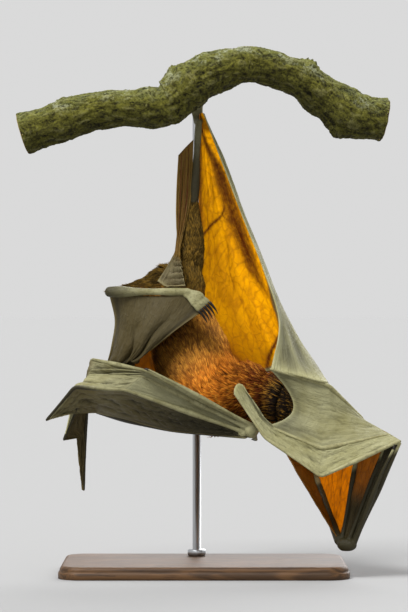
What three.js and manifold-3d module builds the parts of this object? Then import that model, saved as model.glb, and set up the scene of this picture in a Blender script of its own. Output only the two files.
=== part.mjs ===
// A fruit bat, an Indian flying fox, hanging by its right foot from a cut length of branch.
// The branch stands on a plain display stand. Millimetres, +Z up, belly towards -Y.
// The origin is on the underside of the base, under the middle of the branch.
import * as THREE from "three";
import Module from "manifold-3d";

const wasm = await Module();
wasm.setup();

// ---------- Driving dimensions ----------

const GAP = 0.35; // clear space kept between pieces that touch
const MEMBRANE = 0.9; // thickness of the wing skin
const BASE = { width: 270, depth: 150, height: 12, corner: 22, back: 12 };
const ROD = { radius: 4, x: -7, y: 58, top: 452 };
const ARM = { radius: 4.5, end: [-32, 3, 444] };

// Bones are [length, heading, tilt]. The heading is the angle in the X-Z plane from +X towards +Z,
// the tilt is the angle out of that plane towards +Y, both in degrees.
const LEGS = {
  right: { hip: [-13, 8, 284], thigh: [67, 87, 5], shank: [75, 86.5, -3] },
  left: { hip: [-26, 6, 269], thigh: [70, -176.5, -27], shank: [76, 0, -15.5] },
};
// bow is how far the middle of the forearm stands off the straight line between its joints.
// palm is the way across the wrist, from the root of the fifth digit to that of the second and third.
const WINGS = {
  right: {
    shoulder: [40, 6, 188],
    upperArm: [112, -47, 43.5],
    forearm: [160, -72, -50.5],
    bow: [-2, 0, 0],
    palm: [11, -3, -1],
    thumb: [[19, 91, 75], [28, 126, 81.5]],
    digit2: [[77, 70, -17], [25, 64.5, -14]],
    digit3: [[109, 66.5, -12], [82, -156.5, -10], [63, 145, 9], [50, 124.7, 12.5]],
    digit4: [[110, 69, -4], [66, -168.5, -12.5], [55, 157.5, 6]],
    digit5: [[118, 79, 10], [49, 136, -17], [59, 164, -15.5]],
  },
  left: {
    shoulder: [9, 8, 163],
    upperArm: [112, -175.5, 8.5],
    forearm: [162, -8, -27],
    bow: [0, 0, -6],
    palm: [6, -4, 6],
    thumb: [[16, -30, 70], [20, -60, 75]],
    digit2: [[83, 151, -7.5], [31, 153, -7.5]],
    digit3: [[114, 152.5, -3.5], [82, 170, 49], [68, -94.5, 6], [57, -91.5, 0]],
    digit4: [[113, 153.5, -0.5], [65, -178.5, 38], [65, -111.5, 3.5]],
    digit5: [[121, 160.5, -0.5], [48, 177, 10], [44, -130.5, 18]],
  },
};
const PALM_SHARE = { thumb: 0, digit2: 1, digit3: 1, digit4: 0.5, digit5: 0 };
const WRIST_RADIUS = 6;

// Bone radii, from the near end to the far end.
const RADII = {
  upperArm: [11, 8, 5.5],
  forearm: [5, 4.2, 4.8],
  thumb: [2.6, 2.3, 1.2],
  metacarpal: [2.6, 1.7, 2.3],
  phalanx1: [2.2, 1.5, 1.9],
  phalanx2: [1.8, 1.2, 1],
};

// The trunk from the rump to the chest: [x, y, z], half width across, half depth front to back.
const TRUNK = [
  [[-17, 8, 299], 7, 6],
  [[-18, 7, 288], 19, 17],
  [[-19, 6, 272], 25, 23],
  [[-23, 4, 246], 31, 29],
  [[-15, 1, 216], 36, 35],
  [[-4, 0, 190], 38, 37],
  [[4, 0, 164], 34, 34],
  [[8, 0, 145], 25, 26],
  [[10, 0, 132], 9, 10],
];
// The shoulders lie across the end of the chest and lead into the neck.
const SHOULDERS = [
  [[-12, 0, 171], 20, 20],
  [[-4, 0, 170], 33, 31],
  [[12, 1, 168], 37, 36],
  [[26, 1, 168], 34, 32],
  [[38, 1, 168], 31, 29],
];
const NECK = [
  [[38.5, 1, 168], 30.5, 28.5],
  [[50, 0, 169], 29, 27],
  [[60, -1, 167], 26, 25],
  [[67, -2, 165], 22, 22],
];
// The head from the back of the skull to the nose.
const HEAD = [
  [[67.5, -2, 165], 21.5, 21.5],
  [[76, -3, 163], 20, 20.5],
  [[85, -5, 160.5], 17, 18.5],
  [[92, -7, 157.5], 14, 15.5],
  [[99, -9, 155], 10.5, 12],
  [[108, -12, 151.5], 8.8, 9.6],
  [[117, -15, 148], 7.4, 8],
  [[122, -16.5, 146], 5, 5.6],
];
// aside is how far the piece stands out of the head's middle plane.
const EAR = { length: 36, width: 17, thick: 2.4, cup: 5, root: [75, 2, 162], aside: 15 };
const EAR_WAY = [-0.12, 0.86, 0.5];
const EYE = { radius: 5.2, middle: [93, -2.5, 157.5], aside: 9.5 };

// The branch: [x, y, z] of its middle and its radius.
const BRANCH = [
  [[-170, -6, 413], 19],
  [[-135, -8, 424], 20],
  [[-95, -11, 436], 19],
  [[-57, -13, 437], 19],
  [[-33, -13, 442], 21],
  [[-18, -13, 455], 22],
  [[0, -12, 466], 22],
  [[27, -10, 476], 19],
  [[55, -6, 477], 18],
  [[84, 0, 468], 18],
  [[111, 8, 451], 20],
  [[138, 14, 434], 23],
  [[170, 19, 427], 21],
];

const COLOURS = {
  fur: ["#7a4f28", 0.9],
  darkFur: ["#3a2614", 0.9],
  skin: ["#5a5236", 0.6],
  membrane: ["#7d7657", 0.55],
  eye: ["#2a160a", 0.12],
  bark: ["#5d5b2b", 0.95],
  steel: ["#8d8f92", 0.35, 0.9],
  base: ["#2f2d2a", 0.5],
};

// ---------- Curves and solids ----------

const vector = (place) => new THREE.Vector3(...place);
const mix = (a, b, t) => a + (b - a) * t;
const wave = (t) => Math.sin(Math.PI * t);

// The far end of a bone that starts at a point.
function reach(start, [length, heading, tilt]) {
  const h = THREE.MathUtils.degToRad(heading);
  const t = THREE.MathUtils.degToRad(tilt);
  const way = new THREE.Vector3(Math.cos(t) * Math.cos(h), Math.sin(t), Math.cos(t) * Math.sin(h));
  return start.clone().addScaledVector(way, length);
}

// The joints of a chain of bones, its start included.
function joints(start, bones) {
  const places = [start];
  for (const bone of bones) places.push(reach(places.at(-1), bone));
  return places;
}

// A point on a chain of straight stretches, at a share of its whole length.
function pathPoint(places, share) {
  const lengths = places.slice(1).map((place, i) => place.distanceTo(places[i]));
  let left = share * lengths.reduce((sum, length) => sum + length, 0);
  for (let i = 0; i < lengths.length; i++) {
    if (left <= lengths[i] || i === lengths.length - 1) {
      return places[i].clone().lerp(places[i + 1], left / lengths[i]);
    }
    left -= lengths[i];
  }
}

const smooth = (places) => new THREE.CatmullRomCurve3(places.map((p) => (p.isVector3 ? p : vector(p))));

// A closed solid from rings of points: each ring joins the next, and both ends are filled.
function skinRings(rings) {
  const around = rings[0].length;
  const points = rings.flat();
  const triangles = [];
  for (let i = 0; i + 1 < rings.length; i++) {
    for (let j = 0; j < around; j++) {
      const a = i * around + j;
      const b = i * around + ((j + 1) % around);
      triangles.push(a, b, b + around, a, b + around, a + around);
    }
  }
  const last = rings.length - 1;
  for (const index of [0, last]) {
    const middle = rings[index].reduce((sum, p) => sum.add(p), new THREE.Vector3()).divideScalar(around);
    points.push(middle);
    for (let j = 0; j < around; j++) {
      const a = index * around + j;
      const b = index * around + ((j + 1) % around);
      triangles.push(points.length - 1, ...(index === 0 ? [b, a] : [a, b]));
    }
  }
  return solidOf(points, triangles);
}

function solidOf(points, triangles) {
  const mesh = new wasm.Mesh({
    numProp: 3,
    vertProperties: new Float32Array(points.flatMap((p) => [p.x, p.y, p.z])),
    triVerts: new Uint32Array(triangles),
  });
  mesh.merge();
  const solid = new wasm.Manifold(mesh);
  if (solid.volume() >= 0) return solid;
  const turned = [];
  for (let i = 0; i < triangles.length; i += 3) turned.push(triangles[i], triangles[i + 2], triangles[i + 1]);
  return solidOf(points, turned);
}

// A body of oval section along a smooth curve. Each stop is [place, half width, half depth]; the width
// lies across the curve in the X-Z plane and the depth runs towards Y. A round end closes in over
// a short way.
function loft(stops, { around = 14, along = 12, grow = 0, roundEnd = 0 } = {}) {
  const curve = smooth(stops.map(([place]) => place));
  const line = (index) => smooth(stops.map((stop, i) => [i, stop[index], 0]));
  const widths = line(1);
  const depths = line(2);
  const length = curve.getLength();
  const rings = [];
  for (let i = 0; i <= along; i++) {
    const t = i / along;
    const middle = curve.getPoint(t);
    const way = curve.getTangent(t);
    const side = new THREE.Vector3(0, 1, 0).cross(way);
    if (side.length() < 0.25) side.set(1, 0, 0).addScaledVector(way, -way.x);
    side.normalize();
    const deep = new THREE.Vector3().crossVectors(way, side).normalize();
    const fade = endFade((1 - t) * length, roundEnd);
    const width = widths.getPoint(t).y * fade + grow;
    const depth = depths.getPoint(t).y * fade + grow;
    if (i === 0) middle.addScaledVector(way, -grow);
    if (i === along) middle.addScaledVector(way, grow);
    rings.push(ovalRing(middle, side, deep, width, depth, around));
  }
  return skinRings(rings);
}

// Shrinks a section near a round end: a quarter circle over the given way.
function endFade(distance, way) {
  if (way <= 0 || distance >= way) return 1;
  const left = 1 - distance / way;
  return Math.max(0.3, Math.sqrt(1 - left * left));
}

function ovalRing(middle, side, deep, width, depth, around) {
  const ring = [];
  for (let j = 0; j < around; j++) {
    const turn = (2 * Math.PI * j) / around;
    const point = middle.clone().addScaledVector(side, width * Math.cos(turn));
    ring.push(point.addScaledVector(deep, depth * Math.sin(turn)));
  }
  return ring;
}

// A bone or claw: a round body along a few places, with a radius at each.
function limb(places, radii, { around = 6, along = 2, grow = 0, ...ends } = {}) {
  const stops = places.map((place, i) => [place.isVector3 ? place.toArray() : place, radii[i], radii[i]]);
  return loft(stops, { around, along, grow, ...ends });
}

// A straight bone between two joints, slightly waisted, drawn back from each joint.
function bone(from, to, radii, draw = 0.6, bow = [0, 0, 0]) {
  const way = to.clone().sub(from).normalize();
  const start = from.clone().addScaledVector(way, draw);
  const end = to.clone().addScaledVector(way, -draw);
  const middle = start.clone().lerp(end, 0.5).add(vector(bow));
  return (grow) => limb([start, middle, end], radii, { grow });
}

// A thin closed slab. surface(u, v) is its middle; half the thickness is laid off on each side.
function sheet(surface, across, down, grow = 0) {
  const half = MEMBRANE / 2 + grow;
  const edge = 0.002;
  const sides = [[], []];
  for (let i = 0; i <= down; i++) {
    for (let j = 0; j <= across; j++) {
      const u = j / across;
      const v = i / down;
      const alongU = surface(Math.min(1, u + edge), v).sub(surface(Math.max(0, u - edge), v));
      const alongV = surface(u, Math.min(1, v + edge)).sub(surface(u, Math.max(0, v - edge)));
      const normal = alongU.cross(alongV).normalize();
      const middle = surface(u, v);
      sides[0].push(middle.clone().addScaledVector(normal, half));
      sides[1].push(middle.clone().addScaledVector(normal, -half));
    }
  }
  const row = across + 1;
  const count = sides[0].length;
  const triangles = [];
  const quad = (a, b, c, d) => triangles.push(a, b, c, a, c, d);
  for (let i = 0; i < down; i++) {
    for (let j = 0; j < across; j++) {
      const a = i * row + j;
      quad(a, a + 1, a + row + 1, a + row);
      quad(count + a, count + a + row, count + a + row + 1, count + a + 1);
    }
  }
  const rim = [];
  for (let j = 0; j < across; j++) rim.push(j);
  for (let i = 0; i < down; i++) rim.push(i * row + across);
  for (let j = across; j > 0; j--) rim.push(down * row + j);
  for (let i = down; i > 0; i--) rim.push(i * row);
  rim.forEach((a, i) => {
    const b = rim[(i + 1) % rim.length];
    quad(b, a, count + a, count + b);
  });
  return solidOf([...sides[0], ...sides[1]], triangles);
}

// Wing skin stretched between two lines of bones that leave one joint. It runs from one share of
// their length to another; its free edge draws in between the tips, and its middle sags.
function web(lineA, lineB, { from = 0.1, to = 1, scallop = 0, sag = [0, 0, 0] }) {
  return (u, v) => {
    const share = mix(from, to * (1 - scallop * wave(u)), v);
    const point = pathPoint(lineA, share).lerp(pathPoint(lineB, share), u);
    return point.addScaledVector(vector(sag), wave(u) * Math.min(1, 2 * v));
  };
}

// Wing skin that passes through several guide lines, each read from its top to its bottom.
function drape(guides) {
  const lines = guides.map(smooth);
  return (u, v) => smooth(lines.map((line) => line.getPoint(v))).getPoint(u);
}

// ---------- The model ----------

const bat = new THREE.Group();
const placed = [];

function touch(a, b) {
  const p = a.boundingBox();
  const q = b.boundingBox();
  return [0, 1, 2].every((i) => p.min[i] < q.max[i] && q.min[i] < p.max[i]);
}

// Adds a piece under its name. build(grow) makes its solid, swollen by grow. The piece is cut back
// by the gap where it meets the pieces added before it, and its largest part is kept.
function add(name, build, finish) {
  let solid = build(0);
  for (const other of placed) {
    if (touch(solid, other)) solid = solid.subtract(other);
  }
  const parts = solid.decompose().sort((a, b) => b.volume() - a.volume());
  solid = parts[0];
  placed.push(build(GAP).add(solid));
  const { vertProperties, triVerts } = solid.getMesh();
  const geometry = new THREE.BufferGeometry();
  geometry.setAttribute("position", new THREE.BufferAttribute(vertProperties, 3));
  geometry.setIndex(new THREE.BufferAttribute(triVerts, 1));
  geometry.computeVertexNormals();
  const [color, roughness, metalness = 0] = COLOURS[finish];
  const mesh = new THREE.Mesh(geometry, new THREE.MeshStandardMaterial({ color, roughness, metalness }));
  mesh.name = name;
  bat.add(mesh);
}

// ---------- Stand and branch ----------

function baseSlab(grow) {
  const { width, depth, height, corner, back } = BASE;
  const outline = [];
  const corners = [[1, 1], [-1, 1], [-1, -1], [1, -1]];
  corners.forEach(([sx, sy], quarter) => {
    for (let i = 0; i <= 4; i++) {
      const turn = ((quarter + i / 4) * Math.PI) / 2;
      const x = sx * (width / 2 - corner) + corner * Math.cos(turn);
      const y = sy * (depth / 2 - corner) + corner * Math.sin(turn);
      outline.push([x, y]);
    }
  });
  const ring = (z, inset) =>
    outline.map(([x, y]) => new THREE.Vector3(x * (1 - inset / width), y * (1 - inset / depth) + back, z));
  return skinRings([ring(-grow, 0), ring(height - 3 + grow, 0), ring(height + grow, 6)]);
}

// A straight round bar between two places.
function bar(from, to, radius, grow) {
  return limb([from, from.clone().lerp(to, 0.5), to], [radius, radius, radius], { around: 12, grow });
}

function standRod(grow) {
  const foot = new THREE.Vector3(ROD.x, ROD.y, BASE.height + GAP);
  return bar(foot, new THREE.Vector3(ROD.x, ROD.y, ROD.top), ROD.radius, grow);
}

// The arm runs forward from the top of the rod into the back of the branch.
function standArm(grow) {
  const start = new THREE.Vector3(ROD.x, ROD.y, ROD.top - ARM.radius);
  return bar(start, vector(ARM.end), ARM.radius, grow);
}

function cutBranch(grow) {
  return loft(BRANCH.map(([place, radius]) => [place, radius, radius]), { around: 10, along: 17, grow });
}

add("stand_base", baseSlab, "base");
add("stand_rod", standRod, "steel");
add("stand_arm", standArm, "steel");
add("perch_branch", cutBranch, "bark");

// ---------- Legs ----------

const rightLeg = joints(vector(LEGS.right.hip), [LEGS.right.thigh, LEGS.right.shank]);
const leftLeg = joints(vector(LEGS.left.hip), [LEGS.left.thigh, LEGS.left.shank]);

// A foot: a flat sole with five toes side by side, each ending in a hooked claw.
// Every toe follows the places of the middle toe, moved sideways by its share of the spread.
function foot(sole, soleRadii, toe, toeRadii, spread, grow) {
  let whole = limb(sole, soleRadii, { around: 8, along: 3, grow });
  for (let k = -2; k <= 2; k++) {
    const aside = (i) => vector(spread).multiplyScalar((k * i) / (toe.length - 1));
    const places = toe.map((place, i) => vector(place).add(aside(i)));
    const start = places[0].addScaledVector(vector(spread), k * 0.55);
    whole = whole.add(limb([start, ...places.slice(1)], toeRadii, { around: 5, along: 3, grow }));
  }
  return whole;
}

const RIGHT_FOOT = {
  sole: [[-5, 11, 426], [-6, 17, 432], [-7, 20, 441]],
  soleRadii: [4.2, 5.5, 5.5],
  toe: [[-7, 20, 438], [-7, 20, 455], [-6, 17, 468], [-5, 8, 478]],
  toeRadii: [2.6, 2.2, 1.9, 0.7],
  spread: [3.6, 0, 1],
};
const LEFT_FOOT = {
  sole: [[-14, -46, 265], [-7, -47, 262], [0, -45, 254]],
  soleRadii: [3.6, 5.2, 6],
  toe: [[-2, -46, 256], [6, -43, 247], [11, -37, 240], [12, -28, 234]],
  toeRadii: [2.4, 2, 1.6, 0.6],
  spread: [2.2, 0, 2.6],
};

for (const [side, leg, form] of [["right", rightLeg, RIGHT_FOOT], ["left", leftLeg, LEFT_FOOT]]) {
  const place = (grow) => foot(form.sole, form.soleRadii, form.toe, form.toeRadii, form.spread, grow);
  add(`foot_${side}`, place, "skin");
  const shank = bone(leg[1], leg[2], side === "right" ? [4.6, 3.6, 3.8] : [5.6, 4.6, 3.4], 0);
  add(`shank_${side}`, shank, "skin");
}

// ---------- Wing bones ----------

function wingJoints(wing) {
  const arm = joints(vector(wing.shoulder), [wing.upperArm, wing.forearm]);
  const halfway = arm[2].clone().lerp(arm[1], 0.5).add(vector(wing.bow));
  const lines = { arm, bent: [arm[2], halfway, arm[1]] };
  for (const [digit, share] of Object.entries(PALM_SHARE)) {
    const root = arm[2].clone().addScaledVector(vector(wing.palm), share);
    lines[digit] = joints(root, wing[digit]);
  }
  return lines;
}

const lines = { right: wingJoints(WINGS.right), left: wingJoints(WINGS.left) };

for (const side of ["right", "left"]) {
  const { arm, thumb, digit2, digit3 } = lines[side];
  const label = `wing_${side}_`;
  const radius = WRIST_RADIUS;
  const block = [arm[2], arm[2].clone().lerp(digit3[0], 0.5), digit3[0]];
  const wrist = (grow) => limb(block, [radius, radius, radius * 0.8], { around: 8, grow });
  const shaft = bone(arm[1], arm[2], RADII.forearm, -2, WINGS[side].bow);
  add(`${label}forearm`, (grow) => shaft(grow).add(wrist(grow)), "skin");
  add(`${label}upper_arm`, bone(arm[0], arm[1], RADII.upperArm, 0), "fur");
  for (const number of [3, 4, 5]) {
    const digit = lines[side][`digit${number}`];
    add(`${label}digit_${number}_metacarpal`, bone(digit[0], digit[1], RADII.metacarpal, 0.5), "skin");
    add(`${label}digit_${number}_phalanx_1`, bone(digit[1], digit[2], RADII.phalanx1), "skin");
    const last = digit.slice(2);
    const radii = RADII.phalanx2.slice(0, last.length);
    const tip = (grow) => limb(last, radii, { grow, along: last.length });
    add(`${label}digit_${number}_phalanx_2`, tip, "skin");
  }
  add(`${label}digit_2`, (grow) => limb(digit2, [2.2, 1.8, 0.9], { grow }), "skin");
  add(`${label}thumb`, (grow) => limb(thumb, RADII.thumb, { grow }), "skin");
}

// ---------- Ears and eyes ----------

// An ear: a leaf of oval outline, hollowed towards the front, that stands on the side of the head.
// sign is +1 for the right ear, on the upper side, and -1 for the left.
function ear(sign, grow) {
  const mirror = new THREE.Vector3(1, 1, sign);
  const root = vector(EAR.root).add(new THREE.Vector3(0, 0, sign * EAR.aside));
  const up = vector(EAR_WAY).multiply(mirror).normalize();
  const side = new THREE.Vector3(0.9, 0.2, sign * 0.1).cross(up).cross(up).normalize();
  const front = new THREE.Vector3().crossVectors(up, side).normalize();
  const rings = [];
  const steps = 7;
  for (let i = 0; i <= steps; i++) {
    const t = i / steps;
    const half = (EAR.width / 2) * Math.sqrt(Math.max(0.03, 1 - Math.pow(1.75 * t - 0.75, 2) * 0.98));
    const middle = root.clone().addScaledVector(up, EAR.length * t);
    const ring = [];
    for (let j = 0; j < 10; j++) {
      const turn = (2 * Math.PI * j) / 10;
      const across = (half + grow) * Math.cos(turn);
      const hollow = EAR.cup * Math.pow(across / (EAR.width / 2), 2);
      const thick = (EAR.thick / 2 + grow) * Math.sin(turn);
      ring.push(middle.clone().addScaledVector(side, across).addScaledVector(front, hollow + thick));
    }
    rings.push(ring);
  }
  return skinRings(rings);
}

function eye(sign, grow) {
  const middle = vector(EYE.middle).add(new THREE.Vector3(0, 0, sign * EYE.aside));
  const rings = [];
  for (let i = 0; i <= 4; i++) {
    const turn = Math.PI * mix(0.1, 0.9, i / 4);
    const radius = (EYE.radius + grow) * Math.sin(turn);
    const centre = middle.clone().add(new THREE.Vector3(0, -Math.cos(turn) * (EYE.radius + grow), 0));
    rings.push(ovalRing(centre, new THREE.Vector3(1, 0, 0), new THREE.Vector3(0, 0, 1), radius, radius, 8));
  }
  return skinRings(rings);
}

// ---------- Trunk, neck, head ----------

const shoulders = (grow) => loft(SHOULDERS, { around: 12, along: 4, grow });

add("eye_right", (grow) => eye(1, grow), "eye");
add("eye_left", (grow) => eye(-1, grow), "eye");
add("head", (grow) => loft(HEAD, { around: 10, along: 9, grow, roundEnd: 4 }), "darkFur");
add("neck", (grow) => loft(NECK, { around: 12, along: 3, grow }), "fur");
add("trunk", (grow) => loft(TRUNK, { around: 12, along: 10, grow }).add(shoulders(grow)), "fur");

const thigh = (leg, radii) => (grow) =>
  limb([leg[0], leg[0].clone().lerp(leg[1], 0.5), leg[1]], radii, { around: 10, along: 4, roundEnd: 6, grow });
add("thigh_right", thigh(rightLeg, [17, 13, 6]), "fur");
add("thigh_left", thigh(leftLeg, [24, 13, 6.5]), "fur");

// ---------- Wing skin ----------

// Guide lines of the wing skin between the leg, the body and the arm, each from the ankle or the
// tibia down. Every sheet passes through its guides in turn.
const RIGHT_FLANK = [
  [[-1, 9, 425], [-4, 12, 385], [-4, 12, 338], [0, 10, 286], [2, 10, 241], [30, 9, 196]],
  [[0, 11, 426], [5, 22, 386], [17, 34, 339], [34, 45, 288], [56, 53, 240], [83, 54, 189]],
  [[3, 9, 426], [21, 18, 385], [37, 22, 338], [58, 21, 286], [80, 10, 238], [115, -31, 180]],
  [[4, 6, 425], [19, 9, 383], [37, 4, 335], [56, -8, 286], [70, -25, 237], [62, -49, 194]],
];
const LEFT_LEG = [
  [[-88, -24, 260], [-83, -16, 238], [-87, -8, 213], [-93, 6, 192], [-98, 17, 170]],
  [[-63, -32, 259], [-67, -34, 234], [-72, -31, 211], [-81, -14, 190], [-88, 4, 170]],
  [[-37, -40, 258], [-50, -45, 234], [-62, -39, 211], [-74, -22, 192], [-81, -3, 173]],
  [[-20, -44, 256], [-36, -46, 234], [-55, -41, 211], [-72, -27, 194], [-79, -8, 175]],
  [[-3, -47, 246], [-27, -47, 229], [-51, -41, 210], [-69, -31, 198], [-77, -12, 177]],
];
const LEFT_FLANK = [
  [[-87, -22, 259], [-82, -12, 238], [-86, -4, 213], [-92, 9, 192], [-97, 20, 170]],
  [[-60, 2, 258], [-60, 10, 234], [-62, 15, 210], [-64, 19, 187], [-66, 22, 165]],
  [[-36, 10, 258], [-43, 10, 234], [-44, 12, 210], [-38, 14, 187], [-30, 15, 167]],
];
const TAIL_SKIN = [
  [[-24, 4, 394], [-26, 4, 352], [-26, -1, 311], [-31, -14, 295], [-43, -37, 275]],
  [[-17, 7, 402], [-19, 7, 352], [-24, -3, 309], [-26, -20, 292], [-33, -41, 269.5]],
  [[-10, 9, 409], [-13, 10, 352], [-22, -5, 308], [-21, -26, 290], [-17, -44, 269]],
];

const addSheet = (name, surface, across, down) =>
  add(name, (grow) => sheet(surface, across, down, grow), "membrane");

// The skin between the upper arm and the forearm, from near the elbow out to its free front edge.
function frontSkin({ arm, bent }, sag) {
  return web([arm[1], arm[0]], [...bent].reverse(), { from: 0.12, to: 0.97, scallop: 0.04, sag });
}

// A four-sided sheet between a top and a bottom line of bones and a left and a right one.
function patch(top, bottom, left, right) {
  return (u, v) => {
    const across = pathPoint(top, u).lerp(pathPoint(bottom, u), v);
    const down = pathPoint(left, v).lerp(pathPoint(right, v), u);
    const corners = top[0].clone().lerp(top.at(-1), u).lerp(bottom[0].clone().lerp(bottom.at(-1), u), v);
    return across.add(down).sub(corners);
  };
}

add("ear_right", (grow) => ear(1, grow), "darkFur");
add("ear_left", (grow) => ear(-1, grow), "darkFur");

{
  const { arm, digit3, digit4, digit5 } = lines.right;
  const topLine = RIGHT_FLANK.slice(0, 3).map((guide) => vector(guide.at(-1)));
  addSheet("wing_right_plagiopatagium_upper", drape(RIGHT_FLANK), 7, 8);
  const outerEdge = [topLine.at(-1), digit5[1], arm[2]];
  const lower = patch([arm[0], ...topLine.slice(1)], arm.slice(1), arm.slice(0, 2), outerEdge);
  addSheet("wing_right_plagiopatagium_lower", lower, 6, 6);
  addSheet("wing_right_propatagium", frontSkin(lines.right, [-3, -3, -3]), 3, 5);
  addSheet("wing_right_palm_45", web(digit5.slice(0, 2), digit4.slice(0, 2), {}), 2, 4);
  addSheet("wing_right_palm_34", web(digit4.slice(0, 2), digit3.slice(0, 2), {}), 2, 4);
  const tips45 = { from: 0, scallop: 0.22, sag: [0, 7, 0] };
  addSheet("wing_right_tips_45", web(digit5.slice(1), digit4.slice(1), tips45), 4, 6);
  const band = [[68, -59, 138], [55, -60, 150], [45, -59, 165], [37, -58, 179]].map(vector);
  addSheet("wing_right_tips_34", web([...digit4.slice(1, 3), ...band], digit3.slice(1), { from: 0 }), 3, 8);
}
{
  const { arm, digit3, digit4, digit5 } = lines.left;
  addSheet("wing_left_plagiopatagium_leg", drape(LEFT_LEG), 7, 7);
  addSheet("wing_left_plagiopatagium_flank", drape(LEFT_FLANK), 5, 6);
  const spike = vector([-129, -24, 151]);
  addSheet("wing_left_plagiopatagium_hand", web(digit5, [...lines.left.bent, spike], {}), 4, 8);
  addSheet("wing_left_propatagium", frontSkin(lines.left, [0, 0, -9]), 3, 5);
  addSheet("wing_left_palm_45", web(digit5.slice(0, 2), digit4.slice(0, 2), {}), 2, 5);
  addSheet("wing_left_palm_34", web(digit4.slice(0, 2), digit3.slice(0, 2), {}), 2, 4);
  addSheet("wing_left_tips_45", web(digit5.slice(1), digit4.slice(1), { from: 0, scallop: 0.35 }), 3, 5);
  const flap = [...digit4.slice(1), vector([-120, 3, 128]), vector([-118, 9, 79])];
  addSheet("wing_left_tips_34", web(flap, digit3.slice(1), { from: 0 }), 2, 8);
}
addSheet("tail_skin", drape(TAIL_SKIN), 3, 9);

export default bat;
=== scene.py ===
"""A fruit bat that hangs by its right foot from a cut branch on a display stand.

Shapes are worked out in millimetres, in the frame of the solids: +Z up, belly towards -Y.
They become metres when a mesh is made.
"""
import bpy
import numpy as np
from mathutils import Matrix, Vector


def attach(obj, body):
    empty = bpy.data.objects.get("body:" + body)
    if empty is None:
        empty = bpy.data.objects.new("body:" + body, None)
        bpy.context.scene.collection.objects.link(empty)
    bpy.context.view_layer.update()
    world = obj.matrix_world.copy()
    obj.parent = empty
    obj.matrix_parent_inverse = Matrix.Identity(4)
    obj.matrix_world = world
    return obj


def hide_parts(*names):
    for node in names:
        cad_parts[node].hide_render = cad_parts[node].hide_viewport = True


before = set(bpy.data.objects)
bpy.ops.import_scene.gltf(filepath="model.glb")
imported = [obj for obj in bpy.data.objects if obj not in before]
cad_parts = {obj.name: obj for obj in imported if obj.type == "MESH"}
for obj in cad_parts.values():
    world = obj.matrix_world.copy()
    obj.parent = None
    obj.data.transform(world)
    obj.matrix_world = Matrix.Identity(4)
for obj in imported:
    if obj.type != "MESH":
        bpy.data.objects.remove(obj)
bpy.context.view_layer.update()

MM = 0.001
RIGHT, LEFT = "right", "left"


# ---------- Bones: [length, heading, tilt], as in the solids ----------

LEGS = {
    RIGHT: {"hip": (-13, 8, 284), "thigh": (67, 87, 5), "shank": (75, 86.5, -3)},
    LEFT: {"hip": (-26, 6, 269), "thigh": (70, -176.5, -27), "shank": (76, 0, -15.5)},
}
WINGS = {
    RIGHT: {
        "shoulder": (40, 6, 188),
        "upper_arm": (112, -47, 43.5),
        "forearm": (160, -72, -50.5),
        "bow": (-2, 0, 0),
        "palm": (11, -3, -1),
        "thumb": [(19, 91, 75), (28, 126, 81.5)],
        "digit_2": [(77, 70, -17), (25, 64.5, -14)],
        "digit_3": [(109, 66.5, -12), (82, -156.5, -10), (63, 145, 9), (50, 124.7, 12.5)],
        "digit_4": [(110, 69, -4), (66, -168.5, -12.5), (55, 157.5, 6)],
        "digit_5": [(118, 79, 10), (49, 136, -17), (59, 164, -15.5)],
    },
    LEFT: {
        "shoulder": (9, 8, 163),
        "upper_arm": (112, -175.5, 8.5),
        "forearm": (162, -8, -27),
        "bow": (0, 0, -6),
        "palm": (6, -4, 6),
        "thumb": [(16, -30, 70), (20, -60, 75)],
        "digit_2": [(83, 151, -7.5), (31, 153, -7.5)],
        "digit_3": [(114, 152.5, -3.5), (82, 170, 49), (68, -94.5, 6), (57, -91.5, 0)],
        "digit_4": [(113, 153.5, -0.5), (65, -178.5, 38), (65, -111.5, 3.5)],
        "digit_5": [(121, 160.5, -0.5), (48, 177, 10), (44, -130.5, 18)],
    },
}
PALM_SHARE = {"thumb": 0, "digit_2": 1, "digit_3": 1, "digit_4": 0.5, "digit_5": 0}


def joints(start, bones):
    """The joints of a chain of bones. Heading turns from +X to +Z, tilt from there to +Y."""
    places = [np.array(start, float)]
    for length, heading, tilt in bones:
        h, t = np.radians(heading), np.radians(tilt)
        way = np.array([np.cos(t) * np.cos(h), np.sin(t), np.cos(t) * np.sin(h)])
        places.append(places[-1] + length * way)
    return np.array(places)


def wing_lines(wing):
    """Every chain of bones in a wing, by name. bent is the bowed forearm from wrist to elbow."""
    arm = joints(wing["shoulder"], [wing["upper_arm"], wing["forearm"]])
    halfway = (arm[1] + arm[2]) / 2 + wing["bow"]
    lines = {"arm": arm, "bent": np.array([arm[2], halfway, arm[1]])}
    for digit, share in PALM_SHARE.items():
        lines[digit] = joints(arm[2] + share * np.array(wing["palm"]), wing[digit])
    return lines


LINES = {side: wing_lines(WINGS[side]) for side in WINGS}
LEG_LINES = {side: joints(leg["hip"], [leg["thigh"], leg["shank"]]) for side, leg in LEGS.items()}


# ---------- Curves, noise and surfaces ----------

def spline(places, shares):
    """Catmull-Rom curve: between two stops a cubic whose slopes are half the way between the
    stops on either side. places may be an array of curves, one stop for each first index."""
    places = np.asarray(places, float)
    shares = np.asarray(shares, float)
    padded = np.concatenate([[2 * places[0] - places[1]], places, [2 * places[-1] - places[-2]]])
    at = np.clip(shares, 0, 1) * (len(places) - 1)
    i = np.minimum(at.astype(int), len(places) - 2)
    t = (at - i).reshape(at.shape + (1,) * (places.ndim - 1))
    before, a, b, after = (padded[i + k] for k in range(4))
    slope = (b - before) / 2, (after - a) / 2
    rise = b - a
    turn = slope[0] + slope[1] - 2 * rise
    return a + t * (slope[0] + t * (3 * rise - 2 * slope[0] - slope[1] + t * turn))


def profile(values, shares):
    """A number that runs smoothly through its values, spaced evenly along the way."""
    return spline(np.asarray(values, float)[:, None], shares)[..., 0]


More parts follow.
